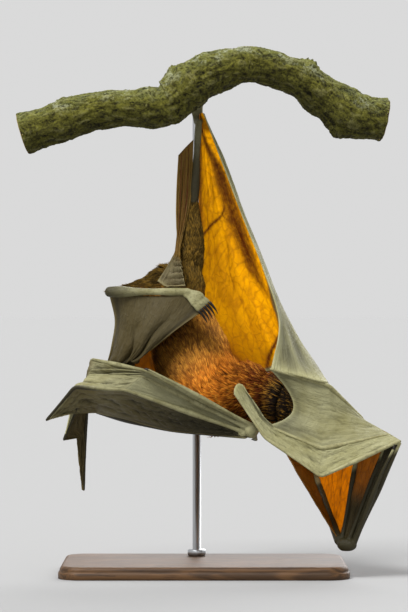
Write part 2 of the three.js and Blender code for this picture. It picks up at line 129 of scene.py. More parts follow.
def trace(places, shares):
    """Points at shares of the whole length of a chain of straight stretches."""
    places = np.asarray(places, float)
    steps = np.linalg.norm(np.diff(places, axis=0), axis=1)
    marks = np.concatenate([[0], np.cumsum(steps)]) / steps.sum()
    return np.stack([np.interp(shares, marks, places[:, k]) for k in range(3)], -1)


def unit(vectors):
    """The same directions with a length of 1."""
    return vectors / np.maximum(np.linalg.norm(vectors, axis=-1, keepdims=True), 1e-9)


def step(low, high, values):
    """0 below low, 1 above high, and a smooth S between: 3t^2 - 2t^3."""
    t = np.clip((values - low) / (high - low), 0, 1)
    return t * t * (3 - 2 * t)


def hump(values, middle, reach):
    """1 at the middle, falling away on both sides: exp(-((value - middle) / reach)^2)."""
    return np.exp(-((values - middle) / reach) ** 2)


def ripples(points, size, seed, waves=7):
    """Smooth noise from -1 to 1: the mean of sine waves about size long, whose directions and
    phases come from a seed."""
    draw = np.random.default_rng(seed)
    ways = unit(draw.normal(size=(waves, points.shape[-1]))) * draw.uniform(0.7, 1.4, (waves, 1))
    phases = draw.uniform(0, 2 * np.pi, waves)
    return np.sin(points @ (ways.T * 2 * np.pi / size) + phases).mean(-1) * 1.8


def tube(path, across, deep, around, up=(0, 1, 0)):
    """A grid of rings round a path: middle + across cos(a) side + deep sin(a) front, where side
    is square to the path and to up, and front is square to both."""
    way = unit(np.gradient(path, axis=0))
    side = unit(np.cross(np.broadcast_to(up, way.shape), way))
    front = np.cross(way, side)
    a = np.linspace(0, 2 * np.pi, around, endpoint=False)[None, :, None]
    across, deep = (np.broadcast_to(r, len(path))[:, None, None] for r in (across, deep))
    return path[:, None] + across * np.cos(a) * side[:, None] + deep * np.sin(a) * front[:, None]


def grid_faces(rows, columns, wrap):
    """Quads between neighbours in a grid. With wrap, the last column joins the first."""
    row = np.arange(rows - 1)[:, None] * columns
    column = np.arange(columns if wrap else columns - 1)[None]
    a, b = row + column, row + (column + 1) % columns
    return np.stack([a, b, b + columns, a + columns], -1).reshape(-1, 4)


def closed_tube(grid):
    """Points and faces of a ring grid whose two ends are filled by a fan to their middle."""
    rows, columns = grid.shape[:2]
    points = np.concatenate([grid.reshape(-1, 3), [grid[0].mean(0), grid[-1].mean(0)]])
    first = np.arange(columns)
    after = (first + 1) % columns
    last = (rows - 1) * columns
    start = np.stack([after, first, np.full(columns, rows * columns)], -1)
    end = np.stack([last + first, last + after, np.full(columns, rows * columns + 1)], -1)
    return outward(points, [grid_faces(rows, columns, True), start, end])


def outward(points, faces):
    """The same solid with its faces turned outwards, by the sign of its volume."""
    volume = 0
    for group in faces:
        for k in range(1, group.shape[1] - 1):
            a, b, c = points[group[:, 0]], points[group[:, k]], points[group[:, k + 1]]
            volume += (np.cross(a, b) * c).sum()
    return points, (faces if volume > 0 else [group[:, ::-1] for group in faces])


def joined(solids):
    """Several solids as one list of points and one of faces."""
    points, faces, first = [], [], 0
    for more_points, more_faces in solids:
        points.append(more_points)
        faces += [group + first for group in more_faces]
        first += len(more_points)
    return np.concatenate(points), faces


# ---------- Meshes ----------

def make_mesh(name, points, faces):
    """A smooth-shaded mesh in metres from points in millimetres and arrays of faces."""
    mesh = bpy.data.meshes.new(name)
    corners = np.concatenate([group.ravel() for group in faces]).astype(np.int32)
    sizes = np.concatenate([np.full(len(group), group.shape[1]) for group in faces])
    mesh.vertices.add(len(points))
    mesh.loops.add(len(corners))
    mesh.polygons.add(len(sizes))
    mesh.vertices.foreach_set("co", (points * MM).astype(np.float32).ravel())
    mesh.loops.foreach_set("vertex_index", corners)
    mesh.polygons.foreach_set("loop_start", (np.cumsum(sizes) - sizes).astype(np.int32))
    mesh.update(calc_edges=True)
    mesh.polygons.foreach_set("use_smooth", np.ones(len(sizes), bool))
    return mesh


def add_uv(mesh, name, points_uv):
    """Gives each corner of a face the map place of its point."""
    corner_points = np.empty(len(mesh.loops), np.int32)
    mesh.loops.foreach_get("vertex_index", corner_points)
    layer = mesh.uv_layers.new(name=name)
    layer.data.foreach_set("uv", points_uv[corner_points].astype(np.float32).ravel())


def add_numbers(mesh, name, numbers):
    """Gives each point of a mesh a number that its material can read."""
    mesh.attributes.new(name, "FLOAT", "POINT").data.foreach_set("value", numbers.astype(np.float32))


def add_piece(mesh, material, nodes=()):
    """Puts a mesh in the scene as a piece that stands for the named nodes."""
    piece = bpy.data.objects.new(mesh.name, mesh)
    bpy.context.scene.collection.objects.link(piece)
    mesh.materials.append(material)
    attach(piece, "root")
    if nodes:
        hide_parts(*nodes)
    return piece


def fused(name, solids, voxel, rounds):
    """One skin over several closed solids: they are cut into voxels as one body, and the new
    surface is smoothed a few times."""
    mesh = make_mesh(name + "_parts", *joined(solids))
    rough = bpy.data.objects.new(name + "_parts", mesh)
    bpy.context.scene.collection.objects.link(rough)
    remesh = rough.modifiers.new("Remesh", "REMESH")
    remesh.mode = "VOXEL"
    remesh.voxel_size = voxel * MM
    soft = rough.modifiers.new("Smooth", "SMOOTH")
    soft.factor = 0.5
    soft.iterations = rounds
    seen = rough.evaluated_get(bpy.context.evaluated_depsgraph_get())
    skin = bpy.data.meshes.new_from_object(seen)
    skin.name = name
    bpy.data.objects.remove(rough)
    bpy.data.meshes.remove(mesh)
    skin.shade_smooth()
    return skin


def slab(middle, half):
    """A closed sheet from a grid of places: half its thickness is laid off along the normal on
    each side, and a strip of quads closes the rim."""
    rows, columns = middle.shape[:2]
    offset = half * unit(np.cross(np.gradient(middle, axis=1), np.gradient(middle, axis=0)))
    points = np.concatenate([(middle + offset).reshape(-1, 3), (middle - offset).reshape(-1, 3)])
    front = grid_faces(rows, columns, False)
    count = rows * columns
    index = np.arange(count).reshape(rows, columns)
    rim = np.concatenate([index[0, :-1], index[:-1, -1], index[-1, :0:-1], index[:0:-1, 0]])
    after = np.roll(rim, -1)
    edge = np.stack([after, rim, rim + count, after + count], -1)
    return outward(points, [front, front[:, ::-1] + count, edge])


# ---------- Materials ----------

def tint(red, green, blue):
    """A colour of a screen, 0 to 255, as the linear colour that a shader works in."""
    c = np.array([red, green, blue]) / 255
    linear = np.where(c <= 0.04045, c / 12.92, ((c + 0.055) / 1.055) ** 2.4)
    return (*linear.tolist(), 1.0)


class Value:
    """A socket that varies over a surface. Sums and products of it add Math nodes."""

    def __init__(self, finish, socket):
        self.finish = finish
        self.socket = socket

    def math(self, operation, *others):
        sockets = {i: other for i, other in enumerate(others)}
        return self.finish.node("ShaderNodeMath", {"operation": operation}, sockets)

    def __add__(self, other):
        return self.math("ADD", self, other)

    def __sub__(self, other):
        return self.math("SUBTRACT", self, other)

    def __rsub__(self, other):
        return self.math("SUBTRACT", other, self)

    def __mul__(self, other):
        return self.math("MULTIPLY", self, other)

    __radd__ = __add__

    def sine(self):
        return self.math("SINE", self)

    def high(self, other):
        return self.math("MAXIMUM", self, other)


class Finish:
    """A material, its Principled shader, and short ways to add nodes to it."""

    def __init__(self, name, **constants):
        self.material = bpy.data.materials.new(name)
        self.material.use_nodes = True
        self.tree = self.material.node_tree
        self.shader = self.tree.nodes["Principled BSDF"]
        self.output = self.tree.nodes["Material Output"]
        for socket, value in constants.items():
            self.shader.inputs[socket.replace("_", " ")].default_value = value

    def node(self, kind, settings=None, sockets=None, out=0):
        """Adds a node: its settings first, then a value or a link for each named socket."""
        node = self.tree.nodes.new(kind)
        for key, value in (settings or {}).items():
            setattr(node, key, value)
        for key, value in (sockets or {}).items():
            self.put(node.inputs[key], value)
        return Value(self, node.outputs[out])

    def put(self, socket, value):
        if isinstance(value, Value):
            self.tree.links.new(value.socket, socket)
        else:
            socket.default_value = value

    def set(self, **sockets):
        for key, value in sockets.items():
            self.put(self.shader.inputs[key.replace("_", " ")], value)

    def place(self):
        return self.node("ShaderNodeTexCoord", out="Object")

    def map(self, name):
        """The two numbers of a UV map."""
        uv = self.node("ShaderNodeUVMap", {"uv_map": name})
        return self.parts(uv)[:2]

    def parts(self, vector):
        split = self.node("ShaderNodeSeparateXYZ", sockets={0: vector})
        return [split] + [Value(self, split.socket.node.outputs[i]) for i in (1, 2)]

    def point(self, x=0.0, y=0.0, z=0.0):
        return self.node("ShaderNodeCombineXYZ", sockets={0: x, 1: y, 2: z})

    def stretched(self, vector, scale):
        return self.node("ShaderNodeVectorMath", {"operation": "MULTIPLY"}, {0: vector, 1: scale})

    def added(self, vector, other):
        return self.node("ShaderNodeVectorMath", {"operation": "ADD"}, {0: vector, 1: other})

    def noise(self, vector, scale, detail=3.0, roughness=0.55, distortion=0.0):
        sockets = {"Vector": vector, "Scale": scale, "Detail": detail}
        sockets |= {"Roughness": roughness, "Distortion": distortion}
        return self.node("ShaderNodeTexNoise", {}, sockets)

    def cracks(self, vector, scale, randomness=1.0):
        """The distance to the edge of the nearest cell of a random net."""
        settings = {"feature": "DISTANCE_TO_EDGE"}
        sockets = {"Vector": vector, "Scale": scale, "Randomness": randomness}
        return self.node("ShaderNodeTexVoronoi", settings, sockets)

    def number(self, name):
        return self.node("ShaderNodeAttribute", {"attribute_name": name}, out="Fac")

    def between(self, value, low, high):
        """0 below low and 1 above high, smooth between them; low may be the higher one."""
        sockets = {"Value": value, "From Min": low, "From Max": high}
        return self.node("ShaderNodeMapRange", {"interpolation_type": "SMOOTHSTEP"}, sockets)

    def mix(self, factor, low, high):
        node = self.tree.nodes.new("ShaderNodeMix")
        node.data_type = "RGBA"
        self.put(node.inputs[0], factor)
        self.put(node.inputs[6], low)
        self.put(node.inputs[7], high)
        return Value(self, node.outputs[2])

    def shaded(self, colour, factor):
        """A colour made darker or lighter by a number."""
        sockets = {0: colour, "Scale": factor}
        return self.node("ShaderNodeVectorMath", {"operation": "SCALE"}, sockets)

    def bump(self, height, distance, strength=1.0):
        sockets = {"Height": height, "Distance": distance, "Strength": strength}
        self.set(Normal=self.node("ShaderNodeBump", {}, sockets))

    def lit_through(self, colour, share):
        """Mixes in light that comes through from behind, in a colour and by a share."""
        translucent = self.node("ShaderNodeBsdfTranslucent", sockets={"Color": colour})
        front = Value(self, self.shader.outputs[0])
        both = self.node("ShaderNodeMixShader", sockets={0: share, 1: front, 2: translucent})
        self.put(self.output.inputs["Surface"], both)


def wing_skin(name, glow):
    """Leathery skin, ruled with fine lines. Five numbers of its points shape it: Thick turns it
    from a thin sheet that light comes through, its base colour painted orange with the glow of
    that light, to a grey one; Brown turns it brown; Dark turns it down, partly its own tone and
    partly painted shade; a fourth number draws dark veins, and painted shade along folds and
    edges; and Hollow is 1 in the bottom of a pleat, where it paints shade. glow is the colour
    of the light that comes through."""
    f = Finish(name, Roughness=0.5, Specular_IOR_Level=0.22)
    u, v = f.map("Span")
    place = f.place()
    thick, brown, dark = (f.number(key) for key in ("Thick", "Brown", "Dark"))
    vein_and_fold_shade, hollow = f.number("VeinAndFoldShade"), f.number("Hollow")
    cloud = f.noise(place, 26, 4, 0.6)
    mottle = f.noise(place, 240, 3, 0.6)
    lines = f.noise(f.point(u * 75, v * 7), 1, 4, 0.65, 0.6)
    grain = f.noise(place, 1000, 2)
    drift = f.stretched(f.noise(place, 40, 2), (0.02, 0.02, 0.02))
    cells = f.cracks(f.added(f.stretched(place, (1.0, 1.0, 0.5)), drift), 125)
    net = f.between(cells, 0.11, 0.01)
    vein_and_fold_shade = vein_and_fold_shade * (0.5 + f.between(lines * 0.6 + mottle * 0.4, 0.3, 0.62) * 0.6)
    grey = f.mix(f.between(cloud, 0.3, 0.75), tint(171, 168, 128), tint(143, 138, 92))
    grey = f.mix(brown, grey, tint(114, 88, 26))
    grey = f.mix(f.between(lines, 0.44, 0.3) * 0.2, grey, tint(194, 192, 152))
    grey = f.mix(f.between(lines, 0.5, 0.68) * 0.42, grey, tint(78, 71, 40))
    # Painted shade in the bottom of pleats, and the Dark number, which is partly painted shade.
    grey = f.shaded(f.mix(hollow * 0.85, grey, tint(40, 36, 12)), 1 - dark * 0.75)
    # Painted glow: where the skin is thin its base colour is painted orange, the colour of the light that
    # comes through it.
    amber = f.mix(mottle, tint(210, 132, 36), tint(150, 74, 12))
    amber = f.shaded(f.mix(brown, amber, tint(110, 44, 6)), 1 - dark * 0.5)
    colour = f.mix(thick, amber, grey)
    # Dark veins, and painted shade along folds and edges.
    colour = f.mix(vein_and_fold_shade, colour, tint(84, 28, 4))
    f.set(Base_Color=colour, Roughness=0.46 + cloud * 0.22)
    f.bump(lines * 0.8 + grain * 0.15 + net * 0.15 + vein_and_fold_shade * 0.4, 0.0012, 0.9)
    light = (1 - thick) * (1 - brown * 0.4) * (1 - vein_and_fold_shade * 0.95) * (1 - vein_and_fold_shade * 0.4) * (1 - hollow * 0.3)
    f.lit_through(glow, light * (1.22 - net * 0.2 - mottle * 0.55 - cloud * 0.2))
    return f.material


def bare_skin(name, light, shade=None):
    """Skin drawn over bone: grey, with folds, fine scales and darker patches. light is how light
    it is, up to 1. A shade (way, low, high) darkens it along a way through space, from nothing
    at low to nearly black at high, both in metres: painted shade on the arms, and the skin's own
    darker tone on the legs."""
    f = Finish(name, Roughness=0.5, Specular_IOR_Level=0.28)
    place = f.place()
    cloud = f.noise(place, 60, 4, 0.6)
    folds = f.noise(place, 330, 3, 0.65)
    scales = f.cracks(place, 700)
    colour = f.mix(f.between(cloud, 0.25, 0.8), tint(166, 162, 120), tint(124, 118, 76))
    colour = f.mix(f.between(folds, 0.5, 0.72) * 0.45, colour, tint(62, 56, 30))
    if shade:
        way, low, high = shade
        x, y, z = f.parts(place)
        along = x * way[0] + y * way[1] + z * way[2]
        colour = f.mix(f.between(along, low, high) * 0.97, colour, tint(42, 36, 12))
    f.set(Base_Color=f.shaded(colour, light), Roughness=0.42 + cloud * 0.22)
    f.bump(folds * 0.9 + scales * 0.5, 0.0008, 0.9)
    return f.material


# The coat's markings. Both the skin and the hair over it read these.
HEAD_START, HEAD_WAY = (64, -1, 165), (0.916, -0.244, -0.319)
FUR_BELLY, FUR_BREAST, FUR_BACK = tint(152, 98, 36), tint(196, 112, 26), tint(98, 66, 28)
FUR_MANTLE, FUR_HEAD = tint(118, 54, 6), tint(40, 29, 18)
# FUR_TIP is the gold at the ends of the palest tufts, partly their colour and partly a painted highlight.
FUR_LEG, FUR_TIP, ELBOW = tint(94, 72, 24), tint(232, 172, 60), tint(138, 134, 104)


def coat_colour(f):
    """Golden brown belly, orange breast, chestnut mantle round the neck, dark head and back,
    brown legs, and the bare grey skin of the left elbow. The head's dark reaches onto the throat
    beside the right wing as painted shade. Also says how far a place is a leg."""
    place = f.place()
    x, y, z = f.parts(place)
    cloud = f.noise(place, 60, 3)
    wander = (cloud - 0.5) * 0.03
    colour = f.mix(f.between(x * 0.8 - z + wander, -0.215, -0.18), FUR_BELLY, FUR_BREAST)
    colour = f.mix(f.between(y + wander, 0.004, 0.024), colour, FUR_BACK)
    start = [part * MM for part in HEAD_START]
    ahead = (x - start[0]) * HEAD_WAY[0] + (y - start[1]) * HEAD_WAY[1] + (z - start[2]) * HEAD_WAY[2]
    mantle = f.between(ahead + wander, -0.045, -0.02)
    colour = f.mix(mantle, colour, FUR_MANTLE)
    # The dark head starts early enough to paint the shade on the throat beside the right wing.
    colour = f.mix(f.between(ahead + wander, -0.016, 0.006), colour, FUR_HEAD)
    legs = f.between(z + wander, 0.256, 0.276).high(f.between(x + wander, -0.05, -0.064))
    colour = f.mix(legs, colour, FUR_LEG)
    return f.mix(f.between(x, -0.045, -0.056) * f.between(z, 0.212, 0.2), colour, ELBOW), legs


def coat():
    """Hair: each tuft is dark at its root, partly its own colour and partly painted shade deep in
    the coat; it has a shade of its own, and the palest ones end gold, partly their colour and partly a
    painted highlight.
    """
    f = Finish("coat", Roughness=0.7, Specular_IOR_Level=0.12)
    shade, along = f.map("Lock")
    colour, legs = coat_colour(f)
    # Dark roots: partly the hair's own colour, partly painted shade deep in the coat.
    tone = (0.12 + along * 1.15) * (0.2 + shade * 1.2)
    # Gold ends: partly the colour of the palest tufts, partly a painted highlight.
    gold = f.between(shade, 0.6, 0.95) * f.between(along, 0.25, 0.9) * (1 - legs * 0.8)
    f.set(Base_Color=f.mix(gold * 0.5, f.shaded(colour, tone), FUR_TIP))
    return f.material


def coat_skin():
    """The skin under the hair, with the same markings, much darker, and the grain of short hair."""
    f = Finish("coat_skin", Roughness=0.8, Specular_IOR_Level=0.2)
    grain = f.noise(f.place(), 1500, 3, 0.7)
    colour = coat_colour(f)[0]
    f.set(Base_Color=f.shaded(colour, 0.12 + grain * 0.25))
    f.bump(grain, 0.0006, 0.8)
    return f.material


def horn():
    """Claws: dark, polished, with faint streaks along them."""
    f = Finish("horn", Roughness=0.3, Specular_IOR_Level=0.3)
    streaks = f.noise(f.place(), 1200, 2)
    f.set(Base_Color=f.mix(streaks, tint(8, 6, 3), tint(30, 23, 13)), Roughness=0.32 + streaks * 0.2)
    return f.material


def eyeball():
    """A wet brown iris round a dark pupil; the ring is drawn by the map's distance from its pole."""
    f = Finish("eyeball", Roughness=0.05, Coat_Weight=1.0, Coat_Roughness=0.02)
    across, away = f.map("Span")
    streaks = f.noise(f.point(across * 60, away * 6), 1, 3)
    iris = f.mix(streaks, tint(92, 44, 14), tint(150, 84, 30))
    colour = f.mix(f.between(away, 0.1, 0.16), tint(4, 3, 3), iris)
    colour = f.mix(f.between(away, 0.42, 0.5), colour, tint(20, 10, 6))
    f.set(Base_Color=colour)
    return f.material


def bark():
    """Rough flaky bark: olive brown, with painted shade in its cracks, which are also darker bark,
    and underneath; painted highlights on the raised flakes; a pale green on top that is moss and
    painted skylight; and small pale spots of lichen."""
    f = Finish("bark", Roughness=0.9, Specular_IOR_Level=0.2)
    place = f.place()
    relief, top = f.number("Relief"), f.number("Top")
    along, around = f.map("Span")
    cloud = f.noise(place, 30, 5, 0.65)
    speckle = f.noise(place, 420, 4, 0.75)
    fibres = f.noise(f.point(along * 40, around * 12), 1, 5, 0.7, 0.8)
    colour = f.mix(f.between(fibres * 0.55 + speckle * 0.45, 0.36, 0.66), tint(40, 36, 6), tint(134, 131, 50))
    # Painted highlight on the raised flakes.
    colour = f.mix(f.between(relief + speckle * 0.3, 0.75, 1.0) * 0.5, colour, tint(156, 152, 96))
    # Painted shade in the cracks, which are also darker bark.
    colour = f.mix(f.between(relief + speckle * 0.4, 0.6, 0.3) * 0.9, colour, tint(20, 17, 5))
    # A pale green on top: moss, and a painted skylight.
    moss_and_skylight = f.between(top + cloud * 1.2, 0.7, 1.5)
    colour = f.mix(moss_and_skylight * f.between(speckle, 0.35, 0.6) * 0.35, colour, tint(138, 148, 100))
    lichen = f.between(f.noise(place, 42, 5, 0.75), 0.53, 0.6) * moss_and_skylight * f.between(speckle, 0.4, 0.55)
    colour = f.mix(lichen * 0.55, colour, tint(196, 200, 172))
    # Painted shade underneath and painted light on top, by the Top number.
    f.set(Base_Color=f.shaded(colour, 0.45 + f.between(top, -0.9, 0.7) * 0.5), Roughness=0.8 + cloud * 0.2)
    f.bump(fibres * 0.7 + speckle * 0.8, 0.003, 1.0)
    return f.material


def cut_wood():
    """A sawn end: growth rings round the pith and cracks that run out from it."""
    f = Finish("cut_wood", Roughness=0.75)
    around, out = f.map("Span")
    wobble = f.noise(f.place(), 90, 3) * 0.25
    rings = ((out + wobble) * 44).sine() * 0.5 + 0.5
    rays = f.between(f.noise(f.point(around * 40, out * 2), 1, 3), 0.6, 0.75)
    colour = f.mix(rings * 0.8, tint(176, 150, 104), tint(112, 84, 48))
    f.set(Base_Color=f.mix(rays * 0.5, colour, tint(90, 66, 36)))
    f.bump(rings * 0.3 + rays * -0.4, 0.0006)
    return f.material


def base_wood():
    """Dark stained wood with the grain along X, under satin varnish."""
    f = Finish("base_wood", Roughness=0.5, Specular_IOR_Level=0.3)
    place = f.place()
    long = f.stretched(place, (2.2, 26, 26))
    rings = f.noise(long, 3, 3, 0.5, 0.6)
    lines = (rings * 42).sine() * 0.5 + 0.5
    pores = f.noise(f.stretched(place, (60, 900, 900)), 1, 3, 0.6)
    colour = f.mix(lines, tint(62, 42, 22), tint(92, 64, 36))
    colour = f.mix(f.between(pores, 0.55, 0.7) * 0.6, colour, tint(34, 20, 12))
    f.set(Base_Color=colour, Roughness=0.42 + pores * 0.2)
    f.bump(pores * -0.5 + lines * 0.2, 0.0003)
    return f.material


def steel():
    """Satin steel, drawn along its length."""
    f = Finish("steel", Metallic=1.0, Roughness=0.3)
    streaks = f.noise(f.stretched(f.place(), (900, 900, 12)), 1, 3)
    metal = f.mix(streaks, tint(168, 170, 172), tint(200, 202, 204))
    f.set(Base_Color=metal, Roughness=0.24 + streaks * 0.16)
    f.bump(streaks, 0.0001, 0.5)
    return f.material


WING_SKIN = wing_skin("wing_skin", tint(255, 212, 58))
DEEP_SKIN = wing_skin("deep_wing_skin", tint(255, 190, 34))  # where the light comes through redder
DARK_SKIN = bare_skin("dark_skin", 0.5)
ARM_SKIN = {
    RIGHT: bare_skin("right_arm_skin", 0.95, ((-0.51, 0, 1), 0.032, 0.026)),  # painted shade below the hand, where it lies in shadow
    LEFT: bare_skin("left_arm_skin", 0.76, ((0.354, 0, 1), 0.144, 0.136)),  # painted shade along the underside of the forearm
}
LEG_SKIN = {
    RIGHT: bare_skin("right_leg_skin", 0.95, ((0, 0, 1), 0.5, 0.365)),  # dark down towards the fur
    LEFT: bare_skin("left_leg_skin", 0.88, ((1, 0, 0), -0.045, -0.098)),  # dark out towards the bent knee
}
COAT, COAT_SKIN, HORN, EYEBALL = coat(), coat_skin(), horn(), eyeball()
BARK, CUT_WOOD, BASE_WOOD, STEEL = bark(), cut_wood(), base_wood(), steel()


# ---------- Stand ----------

BASE = {"width": 270, "depth": 150, "height": 12, "corner": 22, "back": 12}
ROD = {"radius": 4, "x": -7, "y": 58, "top": 452}
ARM_RADIUS, ARM_END = 4.5, (-32, 3, 444)
TOUCH = 0.35  # clear space between pieces that touch


def base_slab():
    """A rounded rectangle carried up a moulded edge: rings of one outline, drawn in by an inset
    at each height, closed to the middle above and below."""
    corner_turn = np.linspace(0, np.pi / 2, 13)
    turns = np.concatenate([corner_turn + quarter * np.pi / 2 for quarter in range(4)])
    signs = np.repeat([[1, 1], [-1, 1], [-1, -1], [1, -1]], 13, axis=0)
    half = np.array([BASE["width"], BASE["depth"]]) / 2
    steps = np.linspace(0, np.pi / 2, 8)
    top = BASE["height"]
    heights = np.concatenate([[0, 0, 0.6, 5.5, 6.1, 6.5], top - 4 + 4 * np.sin(steps), [top]])
    insets = np.concatenate([[60, 0.6, 0, 0, 0.5, 1.4], 1.4 + 4 * (1 - np.cos(steps)), [60]])
    rings = []
    for height, inset in zip(heights, insets):
        corner = max(BASE["corner"] - inset, 2)
        out = signs * (half - inset - corner) + corner * np.stack([np.cos(turns), np.sin(turns)], -1)
        rings.append(np.column_stack([out[:, 0], out[:, 1] + BASE["back"], np.full(len(out), height)]))
    return closed_tube(np.array(rings))


def stand():
    """The base, the rod with a collar at its foot, and the arm with a turned end in the branch."""
    add_piece(make_mesh("display_base", *base_slab()), BASE_WOOD, ["stand_base"])
    collar = BASE["height"] + TOUCH + np.array([0, 0, 1, 5, 6, 6.2])
    heights = np.concatenate([collar, [200, ROD["top"] - 1, ROD["top"]]])
    radii = ROD["radius"] * np.array([1, 2, 2.2, 2.2, 2, 1, 1, 1, 0.85])
    path = np.column_stack([np.full(9, ROD["x"]), np.full(9, ROD["y"]), heights])
    turn = np.linspace(0, 2 * np.pi, 48, endpoint=False)
    ring = np.stack([np.cos(turn), np.sin(turn), 0 * turn], -1)
    rod = closed_tube(path[:, None] + radii[:, None, None] * ring[None])
    add_piece(make_mesh("display_rod", *rod), STEEL, ["stand_rod"])
    start = np.array([ROD["x"], ROD["y"], ROD["top"] - ARM_RADIUS])
    shares = np.array([-0.1, -0.09, -0.07, 0.3, 0.7, 1])
    arm_path = start + shares[:, None] * (np.array(ARM_END) - start)
    arm_radii = ARM_RADIUS * np.array([0.7, 0.95, 1, 1, 1, 1])
    arm = closed_tube(tube(arm_path, arm_radii, arm_radii, 40, up=(0, 0, 1)))
    add_piece(make_mesh("display_arm", *arm), STEEL, ["stand_arm"])


stand()


# ---------- Branch ----------

BRANCH = [
    (-170, -6, 413, 19), (-135, -8, 424, 20), (-95, -11, 436, 19), (-57, -13, 437, 19), (-33, -13, 442, 21),
    (-18, -13, 455, 22), (0, -12, 466, 22), (27, -10, 476, 19), (55, -6, 477, 18), (84, 0, 468, 18),
    (111, 8, 451, 20), (138, 14, 434, 23), (170, 19, 427, 21),
]
# Knots: share of the branch's length, turn round it in degrees, height and width in mm.
KNOTS = [
    (0.1, 60, 3.5, 9), (0.33, 235, 4, 8), (0.42, 95, 3, 7), (0.62, 30, 3, 9), (0.77, 100, 4, 9),
    (0.9, 250, 4, 10),
]
BARK_LENGTH, BARK_ROUND = 420, 20  # the length and radius of the plain tube that carries its pattern
BARK_INSET = 1.2  # how far the smooth branch lies under the bark's middle height
LENGTHWAYS, ROUND = 390, 116
END_SHARE, END_PROUD = 0.97, 0.4  # the sawn wood's share of the radius, and how far it stands out


def branch():
    """A tube round a bent path. Flakes of bark stand up between cracks that run along it: noise
    stretched along the branch is pressed flat at its heights by tanh, and finer noise is added."""
    shares = np.linspace(0, 1, LENGTHWAYS)
    stops = np.array(BRANCH, float)
    path = spline(stops[:, :3], shares)
    radius = profile(stops[:, 3], shares) - BARK_INSET
    grid = tube(path, radius, radius, ROUND, up=(0, 0, 1))
    out = unit(grid - path[:, None])
    turn = np.linspace(0, 2 * np.pi, ROUND, endpoint=False)[None]
    along = shares[:, None] * BARK_LENGTH
    ring = [BARK_ROUND * np.cos(turn) + 0 * along, BARK_ROUND * np.sin(turn) + 0 * along]
    free = np.stack([along + 0 * turn, *ring], -1)
    wound = np.stack([along / 2.2 + 0 * turn, *ring], -1) + 2.5 * ripples(free, 24, 5)[..., None]
    flakes = np.tanh(1.8 * ripples(wound, 8.5, 7, 14)) + 0.6 * ripples(wound, 3.4, 8, 14)
    relief = 0.5 + 0.3 * flakes + 0.15 * ripples(free, 1.9, 11, 14)
    height = 1.6 * ripples(free, 46, 3) + 0.9 * ripples(free, 13, 4) + 2.7 * (relief - 0.5)
    for share, degrees, rise, wide in KNOTS:
        round_way = np.remainder(turn - np.radians(degrees) + np.pi, 2 * np.pi) - np.pi
        far = np.hypot(along - share * BARK_LENGTH, BARK_ROUND * round_way)
        height = height + rise * hump(far, 0, wide) * (1 + 0.35 * np.cos(far * 1.5))
    grid = grid + out * height[..., None]
    mesh = make_mesh("cut_branch", *closed_tube(grid))
    add_numbers(mesh, "Relief", np.concatenate([relief.ravel(), [0.5, 0.5]]))
    add_numbers(mesh, "Top", np.concatenate([out[..., 2].ravel(), [0, 0]]))
    span = np.stack([shares[:, None] + 0 * turn, np.abs(turn / np.pi - 1) + 0 * along], -1)
    add_uv(mesh, "Span", np.concatenate([span.reshape(-1, 2), [[0, 0], [1, 0]]]))
    add_piece(mesh, BARK, ["perch_branch"])
    for end, row, inner in (("start", 0, 1), ("end", -1, -2)):
        wood = sawn_end(f"branch_{end}_wood", grid[row], path[row] - path[inner])
        add_piece(wood, CUT_WOOD)


def sawn_end(name, ring, way):
    """A flat face over an end ring of the branch: rings that shrink to the pith."""
    middle = ring.mean(0)
    way = unit(way)
    shares = np.linspace(1, 0, 14)
    face = middle + shares[:, None, None] * END_SHARE * (ring - middle) + END_PROUD * way
    under = middle + END_SHARE * (ring - middle) - 2 * way
    mesh = make_mesh(name, *closed_tube(np.concatenate([[under], face[:-1]])))
    turn = np.abs(np.linspace(-1, 1, len(ring), endpoint=False))
    out = np.concatenate([[1], shares[:-1]])[:, None] + 0 * turn
    span = np.stack([np.broadcast_to(turn, out.shape), out], -1)
    add_uv(mesh, "Span", np.concatenate([span.reshape(-1, 2), [[0, 1], [0, 0]]]))
    return mesh


branch()


# ---------- Limbs ----------

def limb(path, radii, around=20, deep=None, up=(0, 1, 0), rows=60):
    """A round limb along a smooth path with rounded ends: the radius of the first and last
    stretches falls to nothing by a quarter circle."""
    path = np.asarray(path, float)
    dense = spline(path, np.linspace(0, 1, 400))
    lengths = np.concatenate([[0], np.cumsum(np.linalg.norm(np.diff(dense, axis=0), axis=1))])
    ends = 0.5 - 0.5 * np.cos(np.linspace(0, np.pi, rows))
    at = ends * lengths[-1]
    places = np.stack([np.interp(at, lengths, dense[:, k]) for k in range(3)], -1)
    wide = profile(radii, ends)
    high = wide if deep is None else profile(deep, ends)
    near = np.minimum(at, lengths[-1] - at) / np.maximum(wide, 0.1)
    cap = np.sqrt(np.clip(1 - (1 - np.clip(near, 0, 1)) ** 2, 0.0004, 1))
    return closed_tube(tube(places, wide * cap, high * cap, around, up))


def knuckled(places, radii, knob=1.25, bend=3.5, around=16):
    """A chain of bones under skin: straight shafts with a rounded bend and a swelling at each
    joint. radii has one number for each joint."""
    places = np.asarray(places, float)
    stops, sizes = [places[0]], [radii[0]]
    for k in range(1, len(places) - 1):
        joint = places[k]
        before, after = unit(places[k - 1] - joint), unit(places[k + 1] - joint)
        stops += [joint + 3 * bend * before, joint + bend * before]
        stops += [joint + 0.3 * bend * (before + after), joint + bend * after, joint + 3 * bend * after]
        sizes += [radii[k] * 0.85, radii[k], radii[k] * knob, radii[k], radii[k] * 0.8]
    stops.append(places[-1])
    sizes.append(radii[-1])
    return limb(stops, sizes, around, rows=40 * len(places))


